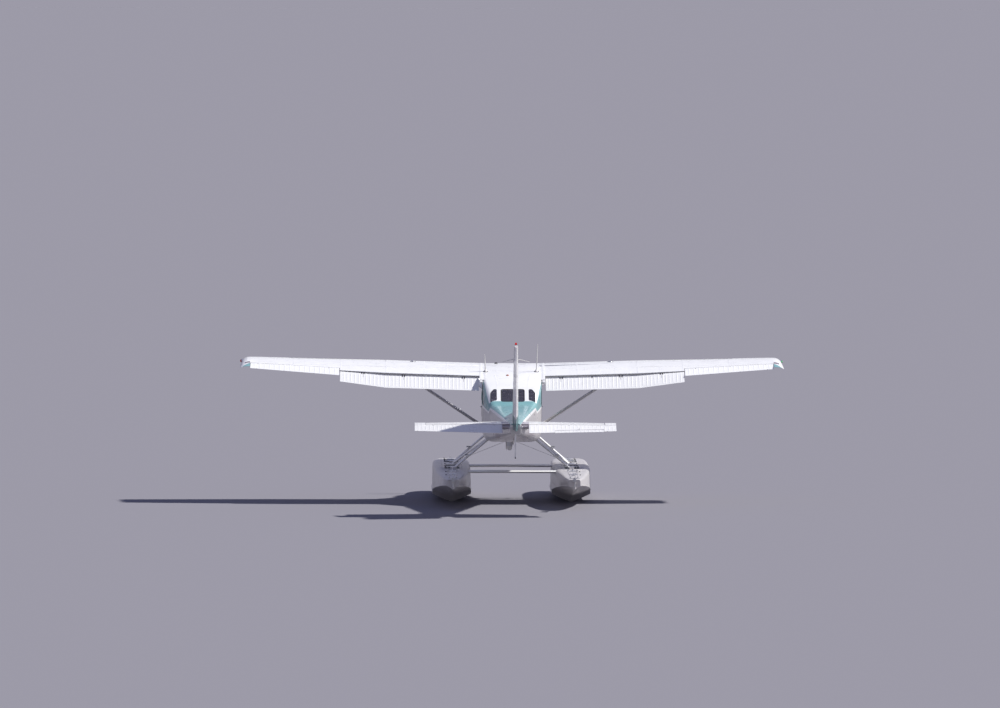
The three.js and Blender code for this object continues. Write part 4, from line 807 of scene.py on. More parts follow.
# One piece for both sides. Piece: node, finish, and lines. A line has its kind, its start and end to port
# as x, station and height, its direction, and what else its kind takes
MIDDLE_LINES = {
    "tailcone_stringers": ("tailcone", "body", [
        *((kind, *ends, INWARD, *more) for kind, *more in ((seam,), (rivet_row, 0.05))
          for ends in (((1.5, 3.0, 0.52), (1.5, 6.1, 0.70)), ((1.5, 3.0, 0.30), (1.5, 5.9, 0.56)))),
        (rivet_row, (0.30, 3.0, 2), (0.05, 6.0, 2), DOWN, 0.05),
        (rivet_row, (0.24, 3.0, -1), (0.04, 6.2, -1), UP, 0.05),
    ]),
    "cabin_rivets": ("cabin_shell", "body", [
        (rivet_row, (0.555, 0.74, 2), (0.5328, 2.3, 2), DOWN),
        (rivet_row, (0.33, 0.74, 2), (0.3168, 2.48, 2), DOWN),
        (rivet_row, (0.33, 0.1, -1), (0.33, 2.9, -1), UP),
        (seam, (0.36, 1.9, 2), (0.30, 2.47, 2), DOWN, 12),
        (rivet_row, (1.5, 1.40, 0.40), (1.5, 2.92, 0.40), INWARD),
        (rivet_row, (1.5, 1.40, 0.715), (1.5, 2.92, 0.715), INWARD),
        (rivet_row, (1.5, 0.05, 0.30), (1.5, 0.44, 0.30), INWARD),
    ]),
    "fin_rivets": ("fin", "fin", [
        *((rivet_row, (1, 5.5, z), (1, 6.9, z), INWARD) for z in spread(0.95, 2.3, 0.28)),
        *((rivet_row, (1, 6.47 - ahead, 0.9), (1, 6.78 - ahead, 2.05), INWARD) for ahead in (0.12, 0.40)),
    ]),
}
# A piece for each side, with the same columns
SIDE_LINES = {
    "wing_rivets": ("wing_{}", "white", on_skins(rivet_row, WING, [
        *(((x, 0.70), (x, 2.22)) for x in spread(0.72, 5.24, 0.30)),
        *(((0.66, station), (5.26, station + 0.08)) for station in (0.78, 1.02, 1.60)),
    ])),
    "wing_seams": ("wing_{}", "white", [
        *on_skins(seam, WING, [((x, 0.66), (x, 2.2)) for x in (1.32, 2.54, 3.46, 4.40)]),
        *on_skins(seam, WING, [((0.64, station), (5.27, station + 0.10)) for station in (0.86, 1.52)], 40),
    ]),
    "stabilizer_rivets": ("stabilizer", "stabilizer", on_skins(rivet_row, TAIL, [
        *(((x, 5.4), (x, 6.22)) for x in spread(0.32, 1.74, 0.24)),
        *(((0.30, 6.2 - ahead), (1.74, 6.2 - ahead * 0.8)) for ahead in (0.20, 0.50)),
    ])),
    "door_rivets": ("door_{}", "body", [
        *((rivet_row, (2, 0.52, z), (2, 1.31, z), INWARD) for z in (0.24, 0.44, 0.76)),
        *((rivet_row, (2, station, 0.26), (2, station, 0.76), INWARD) for station in (0.53, 1.305)),
    ]),
    "cowl_louvres": ("engine_cowl", "body", [
        (strip, (1.5, station, 0.36), (1.5, station + 0.012, 0.49), INWARD, 6, 0.030, 0.012)
        for station in evenly(-0.24, -0.515, 6)
    ]),
    "cowl_split": ("engine_cowl", "body", [(seam, (1.5, -1.0, 0.60), (1.5, -0.07, 0.62), INWARD)]),
    "cowl_fasteners": ("engine_cowl", "steel", [
        (rivet_row, (1.5, -0.92, z - 0.02), (1.5, -0.10, z), INWARD, 0.16, 2.4) for z in (0.575, 0.66)
    ]),
}


def sheet_metal():
    for node, stations, height, arc in HOOPS:
        parts = [part for station in stations for part in hoop(node, station, height, arc)]
        piece(f"{node}_hoops_{round(stations[0] * 100)}".replace("-", "m"), parts, "body")
    for name, (node, finish, lines) in MIDDLE_LINES.items():
        piece(name, [part for _, way in SIDES for part in mirrored(way, node, lines)], finish)
    for name, (node_name, finish, lines) in SIDE_LINES.items():
        for label, way in SIDES:
            node = node_name.format(label)
            piece(f"{name}_{label}", mirrored(way, node, lines), finish, body_of(node))


# Stiffening beads along the chord of the moving surfaces
STIFFENER = (6, 0.024, 0.0032, BEAD, (0.16, 0.03))  # steps, width, height, section, trims
BEAD_MARGIN, BEAD_OVERLAP, BEAD_REACH = 0.035, 0.01, 0.6
# Nodes, the pitch of their beads, finish
BEADED = ((both("flap"), 0.0765, "white"), (both("aileron"), 0.101, "white"),
          (("elevator", "trim_tab"), 0.0765, "stabilizer"))
RUDDER_BEADS = {"stations": (6.35, 7.25), "heights": spread(0.78, 2.3, 0.14)}
# Hinge plates that pass through slots in the surfaces, as distance from the middle
PLATES = {"flap": (0.985, 2.19, 3.01), "aileron": (3.70, 4.40, 5.13)}
PLATE_MARGIN = 0.029


def chord_beads(node, lines, square, finish):
    """Beads on both skins of a surface, where lines in its middle are seen square from either side"""
    parts = []
    for start, end in lines:
        for side in (square * BEAD_REACH, square * -BEAD_REACH):
            parts += strip(node, start - side, end - side, side, *STIFFENER)
    piece(f"{node}_beads", parts, finish, node)


def clear_of_plates(node, x):
    """Moves a bead off the hinge plates"""
    for plate in PLATES.get(node.split("_")[0], ()):
        if abs(abs(x) - plate) < PLATE_MARGIN:
            return math.copysign(plate + math.copysign(PLATE_MARGIN, abs(x) - plate), x)
    return x


def surface_beads():
    for nodes, pitch, finish in BEADED:
        for node in nodes:
            low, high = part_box(node)
            middle = (low.z + high.z) / 2
            ends = [Vector((0, y, middle)) for y in (low.y - BEAD_OVERLAP, high.y + BEAD_OVERLAP)]
            even = spread(low.x + BEAD_MARGIN, high.x - BEAD_MARGIN, pitch)
            lines = [[end + PORT * clear_of_plates(node, x) for end in ends] for x in even]
            chord_beads(node, lines, UP, finish)
    lines = [[air(0, station, z) for station in RUDDER_BEADS["stations"]] for z in RUDDER_BEADS["heights"]]
    chord_beads("rudder", lines, PORT, "fin")


# Glazing and cabin

SEAL = (0.022, 0.010)  # width and height


def window_seals():
    middle = air(0, 1.4, 0.9)
    for node in sorted(node for node in frame["nodes"] if "window" in node or node == "windshield"):
        piece(f"seal_{node}", [bead(*rim(node, middle), *SEAL, closed=True)], "rubber", body_of(node))


CUSHION = {"cuts": 14, "corner": 0.22, "pull": 0.05, "channel": 0.010, "channel_width": 0.06}
# Seats: room left in the node's box, heights above the belly line, thicknesses and slopes
SEAT = {"side_room": 0.012, "rear_room": 0.125, "feet": 0.12, "frame": 0.29, "pad": 0.362, "back_foot": 0.425,
        "pad_thick": 0.114, "back_thick": 0.092, "pad_crown": 0.030, "back_crown": 0.022,
        "lean": math.atan2(0.11, 0.58), "slope": 0.055 / 0.3}
# Sewn channels, as shares of half the width
CHANNELS = {"seat_rear_bench": (-0.66, -0.33, 0.0, 0.33, 0.66)}
SEAT_CHANNELS = (-0.5, 0, 0.5)


def cushion(name, centre, size, lean, crown, channels, upright=False):
    """A stuffed pad, facing up or forward: rounded, crowned, drawn in between its corners, with channels"""
    face, wide, sign = (1, 2, -1) if upright else (2, 1, 1)
    turn = Matrix.Rotation(lean, 3, "X")
    limit = 1 - CUSHION["corner"]
    shape = bmesh.new()
    bmesh.ops.create_cube(shape, size=2)
    bmesh.ops.subdivide_edges(shape, edges=shape.edges, cuts=CUSHION["cuts"], use_grid_fill=True)
    for vert in shape.verts:
        p = vert.co.copy()
        inner = Vector([max(-limit, min(limit, c)) for c in p])
        if p != inner:
            p = inner + (p - inner).normalized() * CUSHION["corner"]
        rise = max(0, p[face] * sign)
        dome = (1 - p.x ** 2) * (1 - p[wide] ** 2)
        groove = sum(math.exp(-((p.x - at) / CUSHION["channel_width"]) ** 2) for at in channels)
        place = Vector([c * s / 2 for c, s in zip(p, size)])
        place[face] += sign * rise * (crown * (dome - 1) - CUSHION["channel"] * groove)
        place.x *= 1 - CUSHION["pull"] * (1 - p[wide] ** 2)
        place[wide] *= 1 - CUSHION["pull"] * (1 - p.x ** 2)
        vert.co = centre + turn @ place
    obj = finished(name, shape, "seat", "airframe", "cushion")
    return obj


def seat_base(name, x, front, width, depth):
    """A tray on four legs"""
    tray = block(air(x, front + depth / 2, SEAT["frame"]), (width - 0.05, depth - 0.06, 0.028), AIR_TURN)
    heights = (SEAT["frame"], SEAT["feet"])
    legs = [tube([air(x + side * width * 0.22, front + aft, height) for height in heights], 0.014)
            for side in (1, -1) for aft in (0.09, depth - 0.12)]
    return piece(name, [tray, *legs], "steel", bevel=0.002)


def seats():
    for node in sorted(n for n in frame["nodes"] if n.startswith("seat_")):
        low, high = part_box(node)
        width = high.x - low.x - SEAT["side_room"]
        depth = high.y - low.y - SEAT["rear_room"]
        x, front = (low.x + high.x) / 2, (low - AIR_ORIGIN).y
        tall = (high - AIR_ORIGIN).z + (front + 0.5) * math.sin(PITCH) - 0.43
        channels = CHANNELS.get(node, SEAT_CHANNELS)
        pad = cushion(f"{node}_cushion", air(x, front + depth / 2, SEAT["pad"]),
                      (width, depth - 0.02, SEAT["pad_thick"]), -PITCH, SEAT["pad_crown"], channels)
        back_station = front + depth - 0.012 + SEAT["slope"] * (tall / 2 + 0.1)
        back = cushion(f"{node}_back", air(x, back_station, SEAT["back_foot"] + tall / 2),
                       (width, SEAT["back_thick"], tall), -PITCH - SEAT["lean"], SEAT["back_crown"], channels,
                       upright=True)
        base = seat_base(f"{node}_base", x, front, width, depth)
        for obj in (pad, back, base):
            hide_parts(node)


# Height of a row of dials: their x
DIALS = {0.90: (-0.34, -0.235, -0.13, 0.13, 0.235, 0.34), 0.79: (-0.34, -0.13, 0.13, 0.34)}
RADIOS = {"count": 4, "top": 0.92, "pitch": 0.062, "size": (0.16, 0.014, 0.05)}
NEEDLE = {"size": (0.004, 0.002, 0.0414), "turn": 0.8, "shift": 0.0092, "rise": 0.0045}
# Glareshield: its section as station and height, and the x that it runs through
SHIELD = ((0.06, 0.955), (0.33, 0.985), (0.375, 0.99), (0.38, 1.0), (0.33, 1.01), (0.06, 0.975))
SHIELD_SPAN = (-0.46, -0.3, 0.3, 0.46)


def panel_details():
    facing = air_step(0, 1, 0)
    centres = [air(x, 0.330, height) for height, columns in DIALS.items() for x in columns]
    needle_step = facing * NEEDLE["rise"] + (PORT + UP) * NEEDLE["shift"]
    radios = [block(air(0, 0.338, RADIOS["top"] - k * RADIOS["pitch"]), RADIOS["size"], AIR_TURN)
              for k in range(RADIOS["count"])]
    piece("panel_bezels", [*(fitting("bezel", c, facing) for c in centres), *radios], "plastic", bevel=0.001)
    piece("panel_dials", [fitting("dial", c, facing) for c in centres], "dial")
    piece("panel_needles", [block(c + needle_step, NEEDLE["size"], Matrix.Rotation(NEEDLE["turn"], 3, "Y"))
                            for c in centres], "rust")
    piece("glareshield", [loft([[air(x, *corner) for corner in SHIELD] for x in SHIELD_SPAN])], "rubber",
          bevel=0.003)


# Trim on the wings

SHOE = (4, 0.020, 0.004, FLAT)  # steps, width, height, section
BESIDE_PLATE = (-0.024, 0.024)
LONE_SHOE = {"left": (), "right": ((1.61, 0),)}
COVER_SPANS = (1.15, 1.9, 2.75, 3.7, 4.5)
ROOT_STRIP = (24, 0.05, 0.003, FLAT)  # steps, width, height, section
ROOT_LINE = {"x": 0.632, "stations": (0.66, 2.2)}
EDGE_SEARCH = (1.6, 2.5, 301)  # first and last station, and how many
# Fairing at the root's rear corner: x of the corner, and the fairing's sides and section from there
FAIRING_X, FAIRING_SIDES = 0.63, (-0.027, 0.027)
FAIRING = ((-0.10, -0.01), (0.05, -0.012), (0.085, -0.052), (-0.02, -0.075))


def rear_edge(node, x):
    """The rearmost station at which a node lies below a place above the wing"""
    stations = evenly(*EDGE_SEARCH)[:-1]
    return max(station for station in stations if cast(node, air(x, station, WING[0]), DOWN))


def track_shoes(label, way):
    """Rubber shoes on the flap beside its hinge plates, under the wing's edge, and a lone one on the right"""
    parts = []
    places = [(plate, side) for plate in PLATES["flap"] for side in BESIDE_PLATE]
    for span, side in (*places, *LONE_SHOE[label]):
        edge = rear_edge(f"wing_{label}", way * (span + 0.03))
        ends = [air(way * span + side, station, 2.4) for station in (edge - 0.03, edge + 0.028)]
        parts += strip(f"flap_{label}", *ends, DOWN, *SHOE)
    piece(f"flap_track_shoes_{label}", parts, "rubber", f"flap_{label}")


def wing_fittings(label, way):
    wing = f"wing_{label}"
    filler = spot("filler_cap", label, way)
    piece(f"filler_cap_{label}", [fitting("filler_cap", *filler)], "aluminium")
    around = [filler[0] + spoke * 0.056 for spoke in spokes(PORT, AFT, 24)]
    piece(f"filler_gasket_{label}", [bead(around, [UP] * 24, 0.012, 0.004, closed=True)], "rubber")
    eye = spot("tie_down", label, way)[0] + DOWN * 0.014
    piece(f"tie_down_{label}", [tube([eye + spoke * 0.018 for spoke in spokes(AFT, UP, 12)], 0.004, 6, True)],
          "steel")
    covers = [cast(wing, air(way * span, 1.28, 1.0), UP) for span in COVER_SPANS]
    piece(f"inspection_covers_{label}", [fitting("inspection_cover", *hit) for hit in covers], "white")


def wing_root(label, way):
    wing = f"wing_{label}"
    ends = [air(way * ROOT_LINE["x"], station, WING[0]) for station in ROOT_LINE["stations"]]
    piece(f"wing_root_strip_{label}", strip(wing, *ends, DOWN, *ROOT_STRIP), "white")
    edge = rear_edge(wing, way * FAIRING_X) - 0.004
    corner = cast(wing, air(way * FAIRING_X, edge, WING[0]), DOWN)[0]
    wedge = [trail(corner, *((x, *place) for place in FAIRING)) for x in FAIRING_SIDES]
    piece(f"wing_root_fairing_{label}", [loft(wedge)], "white", bevel=0.006)


def wing_trim():
    for label, way in SIDES:
        track_shoes(label, way)
        wing_fittings(label, way)
        wing_root(label, way)
    vane = spot("stall_vane")[0] - AFT * 0.012
    piece("stall_vane", [block(vane, (0.03, 0.035, 0.004))], "steel", bevel=0.001)
    for kind in ("pitot_tube", "fuel_vent"):
        piece(kind, [rod(kind, spot(kind)[0])], "steel")


def lights():
    for (label, way), lens in zip(SIDES, ("red_lens", "green_lens")):
        out = PORT * way
        base = spot("nav_light", label, way)[0] - out * 0.012
        piece(f"nav_light_base_{label}", [fitting("nav_light_base", base, out)], "aluminium")
        piece(f"nav_light_{label}", [fitting("nav_light", base, out)], lens)
    piece("tail_light", [fitting("tail_light", spot("tail_light")[0], AFT)], "clear_lens", "rudder")
    nose = spot("landing_light")[0]
    for kind, finish in (("bezel", "aluminium"), ("lens", "clear_lens")):
        name = f"landing_light_{kind}"
        piece(name, [fitting(name, nose, air_step(0, -1, 0))], finish)
    low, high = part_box("beacon")
    foot = Vector(((low.x + high.x) / 2, (low.y + high.y) / 2, low.z))
    piece("beacon_ring", [fitting("beacon_ring", foot, UP)], "aluminium")


# node: x of the static wicks on its trailing edge
WICKS = {"aileron_left": (4.0, 4.6, 5.15), "aileron_right": (-4.0, -4.6, -5.15),
         "elevator": (1.80, 1.93, -1.80, -1.93)}


def wicks():
    for node, places in WICKS.items():
        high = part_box(node)[1]
        parts = []
        for x in places:
            hits = (cast(node, (x, high.y - 0.004 * k, high.z + 0.3), DOWN) for k in range(60))
            parts.append(rod("wick", next(hit for hit in hits if hit)[0]))
        piece(f"{node}_wicks", parts, "rubber", node)


# Whip antennas on the roof's corners: side, x, lean, length
WHIPS = (("left", 0.535, 0.022, 0.345), ("right", -0.49, -0.024, 0.56))
WHIP = {"above": (1.72, 2.4), "aft": 0.03, "shares": (0, 0.35, 0.8, 1),
        "radii": [0.0125, 0.0115, 0.008, 0.005]}
# Rods on both sides of the fin: root, and steps from it, outward, aft and up in the airframe's own axes
WHISKER = {"root": (0.03, 6.42, 2.08), "steps": ((0, 0, 0), (0.05, 0.02, 0.004), (0.24, 0.19, -0.03)),
           "radii": [0.009, 0.007, 0.0035]}
# Blade antennas below the belly: node, x, station, height, chord; their section as shares of chord and width
BELLY_BLADES = (("cabin_shell", 0.0, 1.15, 0.11, 0.13), ("cabin_shell", 0.12, 2.30, 0.16, 0.09),
                ("tailcone", 0, 3.7, 0.09, 0.11))
LENS = [(-0.5, 0), (-0.3, 0.5), (0.1, 0.5), (0.5, 0), (0.1, -0.5), (-0.3, -0.5)]


def antennas():
    for label, x, lean, reach in WHIPS:
        foot, normal = cast("cabin_shell", air(x, *WHIP["above"]), DOWN)
        tip = foot + air_step(lean, WHIP["aft"], reach)
        whip = tube([foot.lerp(tip, share) for share in WHIP["shares"]], WHIP["radii"], 10)
        piece(f"antenna_{label}", [fitting("antenna_foot", foot, UP), whip], "cream")
        piece(f"antenna_gasket_{label}", [fitting("antenna_gasket", foot, normal)], "rubber")
    for kind, finish in (("roof_puck", "rust"), ("roof_vent", "rubber")):
        piece(kind, [fitting(kind, *spot(kind))], finish)
    rods = []
    for _, way in SIDES:
        out, station, height = WHISKER["root"]
        root = air(way * out, station, height)
        path = [root + air_step(way * x, aft, up) for x, aft, up in WHISKER["steps"]]
        rods.append(tube(path, WHISKER["radii"]))
    piece("fin_whiskers", rods, "cream")
    blades = []
    for node, x, station, height, chord in BELLY_BLADES:
        foot = cast(node, air(x, station, -1), UP)[0]
        levels = ((-0.02, 0, 1), (height * 0.7, 0.03, 0.85), (height, 0.05, 0.55))
        blades.append(loft([
            [foot + air_step(v * 0.022 * size, u * chord * size + back, -drop) for u, v in LENS]
            for drop, back, size in levels
        ]))
    piece("belly_antennas", blades, "cream", bevel=0.001)


# Struts and wires

STRUT_ENDS = ((0.53, 0.395, 0.218), (2.3, 0.968, 1.446))
# Cuffs at the strut's lower and upper end: share of the way, and how far it stands off
CUFFS = (((0.055, 0.0035), (0.10, 0.0035), (0.102, 0.001)), ((0.975, 0.026), (0.94, 0.010), (0.92, 0.002)))
FLOAT_X = 1.21
STRUT_TOP_X = 0.42
STEP_SHARES = {"front": 0.55, "rear": 0.62}
# Tread and bracket of a step on a gear strut: how far inward and up from the strut's top, size
STEP = ((0, 0.012), (0.10, 0.24, 0.012))
STEP_BRACKET = ((0.02, -0.004), (0.02, 0.10, 0.03))
GRIP_RISE, GRIP_SIZE = 0.0195, (0.085, 0.22, 0.003)
WIRE_TOP, WIRE_FOOT, WIRES_APART = (0.40, 0.25, 0.13), (1.13, 0.2, 0.75), 0.02


def sleeve(node, start, end, stops, count=28, reach=0.3):
    """A skin round a bar between two points; stops are the share of the way and how far it stands off"""
    around = spokes(*across(end - start), count)
    rings = []
    for share, off in stops:
        centre = start.lerp(end, share)
        hits = [cast(node, centre + spoke * reach, -spoke) for spoke in around]
        rings.append([(hit[0] if hit else centre) + spoke * off for hit, spoke in zip(hits, around)])
    return loft(rings)


def strut_top(node, x):
    """The highest place on a strut across its width at x, at the middle of the width"""
    low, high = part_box(node)
    hits = [cast(node, (x, y, 2), DOWN) for y in evenly(low.y, high.y, 25)]
    places = [hit[0] for hit in hits if hit]
    return Vector((x, sum(p.y for p in places) / len(places), max(p.z for p in places)))


def struts():
    for label, way in SIDES:
        ends = [air(x * way, station, height) for x, station, height in STRUT_ENDS]
        piece(f"wing_strut_cuffs_{label}", [sleeve(f"wing_strut_{label}", *ends, stops) for stops in CUFFS],
              "float")
        tops = [strut_top(f"gear_strut_{end}_{label}", way * (STRUT_TOP_X + (FLOAT_X - STRUT_TOP_X) * share))
                for end, share in STEP_SHARES.items()]
        steps = [block(top + Vector((-way * inward, 0, rise)), size) for top in tops
                 for (inward, rise), size in (STEP, STEP_BRACKET)]
        grips = [block(top + UP * GRIP_RISE, GRIP_SIZE) for top in tops]
        piece(f"strut_steps_{label}", steps, "aluminium", bevel=0.002)
        piece(f"strut_step_grips_{label}", grips, "grip")


def brace_wires():
    """Crossed bracing wires ahead of the cabin door, from the body's fittings down to the far float"""
    wires, ends = [], []
    for _, way in SIDES:
        apart = AFT * WIRES_APART * way
        top = air(way * WIRE_TOP[0], *WIRE_TOP[1:]) + apart
        foot = Vector((-way * WIRE_FOOT[0], row(WIRE_FOOT[1]), WIRE_FOOT[2])) + apart
        wires.append(tube([top, foot], 0.0035, 6))
        for place, toward in ((top, foot), (foot, top)):
            ends.append(tube([place, place + (toward - place).normalized() * 0.09], [0.009, 0.006]))
    piece("brace_wires", wires, "steel")
    piece("brace_wire_ends", ends, "steel")


# Trim on the doors, cowl and tail

# Humps over the rudder cables' exits: steps along them, width and height
EXIT_STEPS, EXIT_SIZE = [(0, y, 0) for y in evenly(-0.10, 0.08, 4)], (0.05, 0.018)
# The horns on both sides of the rudder's foot: place as station and height, x of their middle and end
HORN = {"place": (6.535, 0.745), "x": 0.075, "end_x": 0.125, "size": (0.13, 0.04, 0.012)}
# Oil door: ends, direction, steps, width, height, section
OIL_DOOR = (air(0.20, -0.42, 2), air(0.20, -0.24, 2), DOWN, 6, 0.15, 0.004, FLAT)


def door_trim(label, way):
    body = f"door_{label}"
    place = spot("door_handle", label, way)[0]
    handle = [fitting("handle_boss", place, PORT * way), rod("door_grip", place, way)]
    piece(f"door_handle_{label}", handle, "steel", body)
    lock = spot("door_lock", label, way)[0]
    piece(f"door_lock_{label}", [fitting("door_lock", lock, PORT * way)], "steel", body)


def body_trim():
    for label, way in SIDES:
        door_trim(label, way)
        port = spot("static_port", label, way)[0]
        piece(f"static_port_{label}", [fitting("static_port", port, PORT * way)], "steel")
    piece("oil_door", strip("engine_cowl", *OIL_DOOR), "body")
    screws = ring_hits("spinner", -1.20, 0.64, (7.5, 367.5), 12)
    piece("spinner_screws", [rivet(*hit, 1.6) for hit in screws], "steel", "propeller")


def tail_trim():
    ways = [way for _, way in SIDES]
    horns = [block(air(way * HORN["x"], *HORN["place"]), HORN["size"]) for way in ways]
    horns += [fitting("horn_end", air(way * HORN["end_x"], *HORN["place"]), UP) for way in ways]
    piece("rudder_horn", horns, "steel", "rudder", bevel=0.002)
    exits = [spot("cable_exit", way=way) for way in ways]
    humps = [bead(trail(place, *EXIT_STEPS), [normal] * len(EXIT_STEPS), *EXIT_SIZE)
             for place, normal in exits]
    piece("cable_exits", humps, "body")
    tab = cast("trim_tab", (-1.25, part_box("trim_tab")[0].y + 0.035, 3), DOWN)[0]
    piece("tab_horn", [block(tab + UP * 0.022, (0.006, 0.03, 0.05))], "steel", "trim_tab", bevel=0.001)
    piece("tail_handles", [rod("tail_handle", spot("tail_handle", way=way)[0], way) for way in ways], "steel")
    low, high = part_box("ventral_fin")
    edge = [Vector((0, y, low.z + 0.004)) for y in (low.y + 0.19, high.y - 0.004)]
    piece("ventral_edge", [tube(edge, 0.014)], "rubber")


# Trim on the floats: stations along them, and heights above the floor

CHINE = [(-1.9, 0.345), (-1.66, 0.275), (-1.05, 0.20), (0, 0.185), (1.34, 0.18)]
AFTER_CHINE = [(1.37, 0.25), (2.9, 0.385), (3.9, 0.472), (4.28, 0.50)]
GRIP_STATIONS = ((-1.0, -0.62), (-0.38, 0.05), (1.12, 1.42), (1.68, 2.18))
# Width, height and section
RAIL, GRIP, BUMPER = (0.022, 0.014), (0.30, 0.0016, FLAT), (0.09, 0.035)
BUMPER_X, BUMPER_Z = (-0.15, -0.10, -0.05, 0, 0.05, 0.10, 0.15), 0.575
HATCHES = (-1.75, -1.15, -0.5, 0.50, 1.55, 2.9, 3.5)
HATCH_RIVETS = {"count": 8, "radius": 0.1, "size": 1.3}
DECK_RIVETS = {"x": (-0.20, 0.20), "stations": evenly(-1.5, 2.7, 70), "least_rise": 0.5}
SIDE_RIVETS = {"heights": (0.40, 0.60), "stations": evenly(-1.5, 3.1, 70)}
POST_STATION = 4.405
CLEATS = {"stations": (-1.95, 2.65, 3.75), "posts": (-0.035, 0.035)}
# Rudder cable's guides: x from the float's middle, station, height above the deck
CABLE = ((0.09, 1.2, 0.02), (0.09, 2.95, 0.02), (0.07, 4.1, 0.022))


def deck(label, way, x, station):
    """Where a float's deck lies at x from its middle"""
    return cast(f"float_{label}", (way * FLOAT_X + x, row(station), 1.5), DOWN)


def float_side(label, way, side, places):
    """Hits on a float's side at stations and heights"""
    hits = [cast(f"float_{label}", (way * FLOAT_X + side * 0.8, row(station), z), (-side, 0, 0))
            for station, z in places]
    return [hit for hit in hits if hit]


def spray_rails(label, way):
    rails = []
    for line in (CHINE, AFTER_CHINE):
        ends = zip(map(Vector, line), map(Vector, line[1:]))
        places = [start.lerp(end, share) for start, end in ends for share in evenly(0, 1, 9)[:-1]]
        rails += [bead(*zip(*float_side(label, way, side, places)), *RAIL) for side in (1, -1)]
    piece(f"spray_rails_{label}", rails, "float")


def deck_grip(label, way):
    hits = [[deck(label, way, 0, station) for station in evenly(*ends, 7)] for ends in GRIP_STATIONS]
    piece(f"deck_grip_{label}", [bead(*zip(*found), *GRIP) for found in hits], "grip")


def hatches(label, way):
    covers = [deck(label, way, 0, station) for station in HATCHES]
    plugs = [deck(label, way, way * 0.13, station + 0.12) for station in HATCHES]
    piece(f"float_hatches_{label}", [fitting("hatch", *hit) for hit in covers], "aluminium")
    piece(f"pump_plugs_{label}", [fitting("pump_plug", *hit) for hit in plugs], "rubber")


def float_rivets(label, way):
    around = [spoke * HATCH_RIVETS["radius"] for spoke in spokes(PORT, AFT, HATCH_RIVETS["count"])]
    heads = [rivet(*deck(label, way, out.x, station + out.y), HATCH_RIVETS["size"])
             for station in HATCHES for out in around]
    rows = [deck(label, way, x, station) for x in DECK_RIVETS["x"] for station in DECK_RIVETS["stations"]]
    heads += [rivet(*hit) for hit in rows if hit and hit[1].z > DECK_RIVETS["least_rise"]]
    places = [(station, z) for z in SIDE_RIVETS["heights"] for station in SIDE_RIVETS["stations"]]
    heads += [rivet(*hit) for side in (1, -1) for hit in float_side(label, way, side, places)]
    piece(f"float_rivets_{label}", heads, "float")


def cleats(label, way):
    parts = []
    for station in CLEATS["stations"]:
        place = deck(label, way, 0, station)[0]
        parts += [rod("cleat_post", place + AFT * shift) for shift in CLEATS["posts"]]
        parts.append(rod("cleat_bar", place))
    piece(f"cleats_{label}", parts, "aluminium")


def bow_bumper(label, way):
    node = f"float_{label}"
    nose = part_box(node)[0].y
    hits = [cast(node, (way * FLOAT_X + x, nose - 0.5, BUMPER_Z), AFT) for x in BUMPER_X]
    hits = [hit for hit in hits if hit and hit[0].y < nose + 0.3]
    piece(f"bow_bumper_{label}", [bead(*zip(*hits), *BUMPER)], "rubber")


def steering(label, way):
    """The arm on the water rudder's post, and the cables along the deck with their guides"""
    top = Vector((way * FLOAT_X, row(POST_STATION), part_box(f"water_rudder_post_{label}")[1].z))
    arm = [block(top + UP * 0.006, (0.20, 0.028, 0.008)), fitting("post_cap", top, UP)]
    piece(f"water_rudder_arm_{label}", arm, "steel", f"water_rudder_{label}", bevel=0.001)
    paths = [[deck(label, way, side * x, station)[0] + UP * rise for x, station, rise in CABLE]
             for side in (-1, 1)]
    piece(f"rudder_cables_{label}", [tube(path, 0.0028, 6) for path in paths], "steel")
    guides = [fitting("cable_guide", place, UP) for path in paths for place in path]
    piece(f"cable_guides_{label}", guides, "aluminium")


def float_trim():
    for label, way in SIDES:
        for make in (spray_rails, deck_grip, hatches, float_rivets, cleats, bow_bumper, steering):
            make(label, way)


# Studio and camera

HORIZON = (0.335, 0.325, 0.39)
ZENITH = (0.175, 0.21, 0.41)
SUN = {"toward": (-1, 0.0, 1.15), "strength": 4.9, "angle": 2, "colour": (1, 0.98, 0.95)}
FLOOR_SIZE = 9000


def lit_floor():
    """The floor's colour under the key light that makes it meet the backdrop without a horizon"""
    rise = Vector(SUN["toward"]).normalized().z
    sky = [h / 3 + z * 2 / 3 for h, z in zip(HORIZON, ZENITH)]
    key = [SUN["strength"] * c * rise / math.pi for c in SUN["colour"]]
    return tuple(h / (s + k) for h, s, k in zip(HORIZON, sky, key))


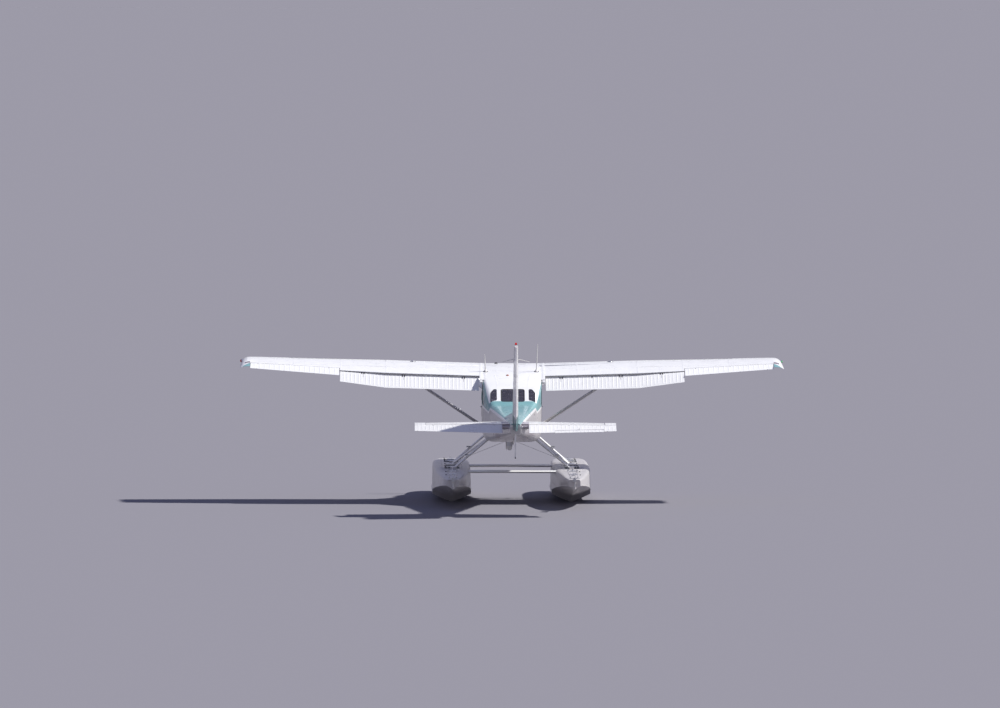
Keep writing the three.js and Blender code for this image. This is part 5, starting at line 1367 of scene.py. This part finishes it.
def studio():
    floor = bpy.data.meshes.new("floor")
    corners = [(x * FLOOR_SIZE, y * FLOOR_SIZE, 0) for x, y in ((-1, -1), (1, -1), (1, 1), (-1, 1))]
    floor.from_pydata(corners, [], [(0, 1, 2, 3)])
    obj = linked("floor", floor)
    made, tree = new_material("floor")
    connect(tree, Base_Color=lit_floor(), Roughness=1.0, Specular_IOR_Level=0.0)
    floor.materials.append(made)
    scene = bpy.context.scene
    scene.world = scene.world or bpy.data.worlds.new("studio")
    scene.world.use_nodes = True
    tree = scene.world.node_tree
    direction = field(tree, "ShaderNodeTexCoord", {}, "Generated")
    height = field(tree, "ShaderNodeSeparateXYZ", {0: direction}, 2)
    plug(tree, tree.nodes["Background"].inputs["Color"], mixed(height.maths("MAXIMUM", 0.0), HORIZON, ZENITH))
    light = bpy.data.lights.new("key", "SUN")
    light.energy = SUN["strength"]
    light.angle = math.radians(SUN["angle"])
    light.color = SUN["colour"]
    lamp = linked("key", light)
    lamp.rotation_mode = "QUATERNION"
    lamp.rotation_quaternion = Vector(SUN["toward"]).to_track_quat("Z", "Y")
    scene.view_settings.view_transform = "Standard"


def set_camera():
    data = bpy.data.cameras.new("camera")
    data.lens, data.sensor_width = CAMERA["lens"], CAMERA["sensor"]
    data.clip_start, data.clip_end = 1, 20000
    obj = linked("camera", data)
    bpy.context.scene.camera = obj
    azimuth, elevation = math.radians(CAMERA["azimuth"]), math.radians(CAMERA["elevation"])
    back = Vector((math.sin(azimuth) * math.cos(elevation), math.cos(azimuth) * math.cos(elevation),
                   math.sin(elevation)))
    obj.location = air(*CREST["place"]) + back * CAMERA["distance"]
    focal = CAMERA["lens"] / CAMERA["sensor"] * IMAGE[0]
    right, down = ((p - size / 2) / focal for p, size in zip(CREST["pixel"], IMAGE))
    side = (-back).cross(UP).normalized()
    look = (-back - side * right + side.cross(-back) * down).normalized()
    obj.rotation_mode = "QUATERNION"
    obj.rotation_quaternion = look.to_track_quat("-Z", "Y") @ Quaternion(UP, math.radians(-CAMERA["roll"]))


for make in (set_camera, studio, dress_frame, sheet_metal, surface_beads, window_seals, seats, panel_details,
             wing_trim, lights, wicks, antennas, struts, brace_wires, body_trim, tail_trim, float_trim):
    make()
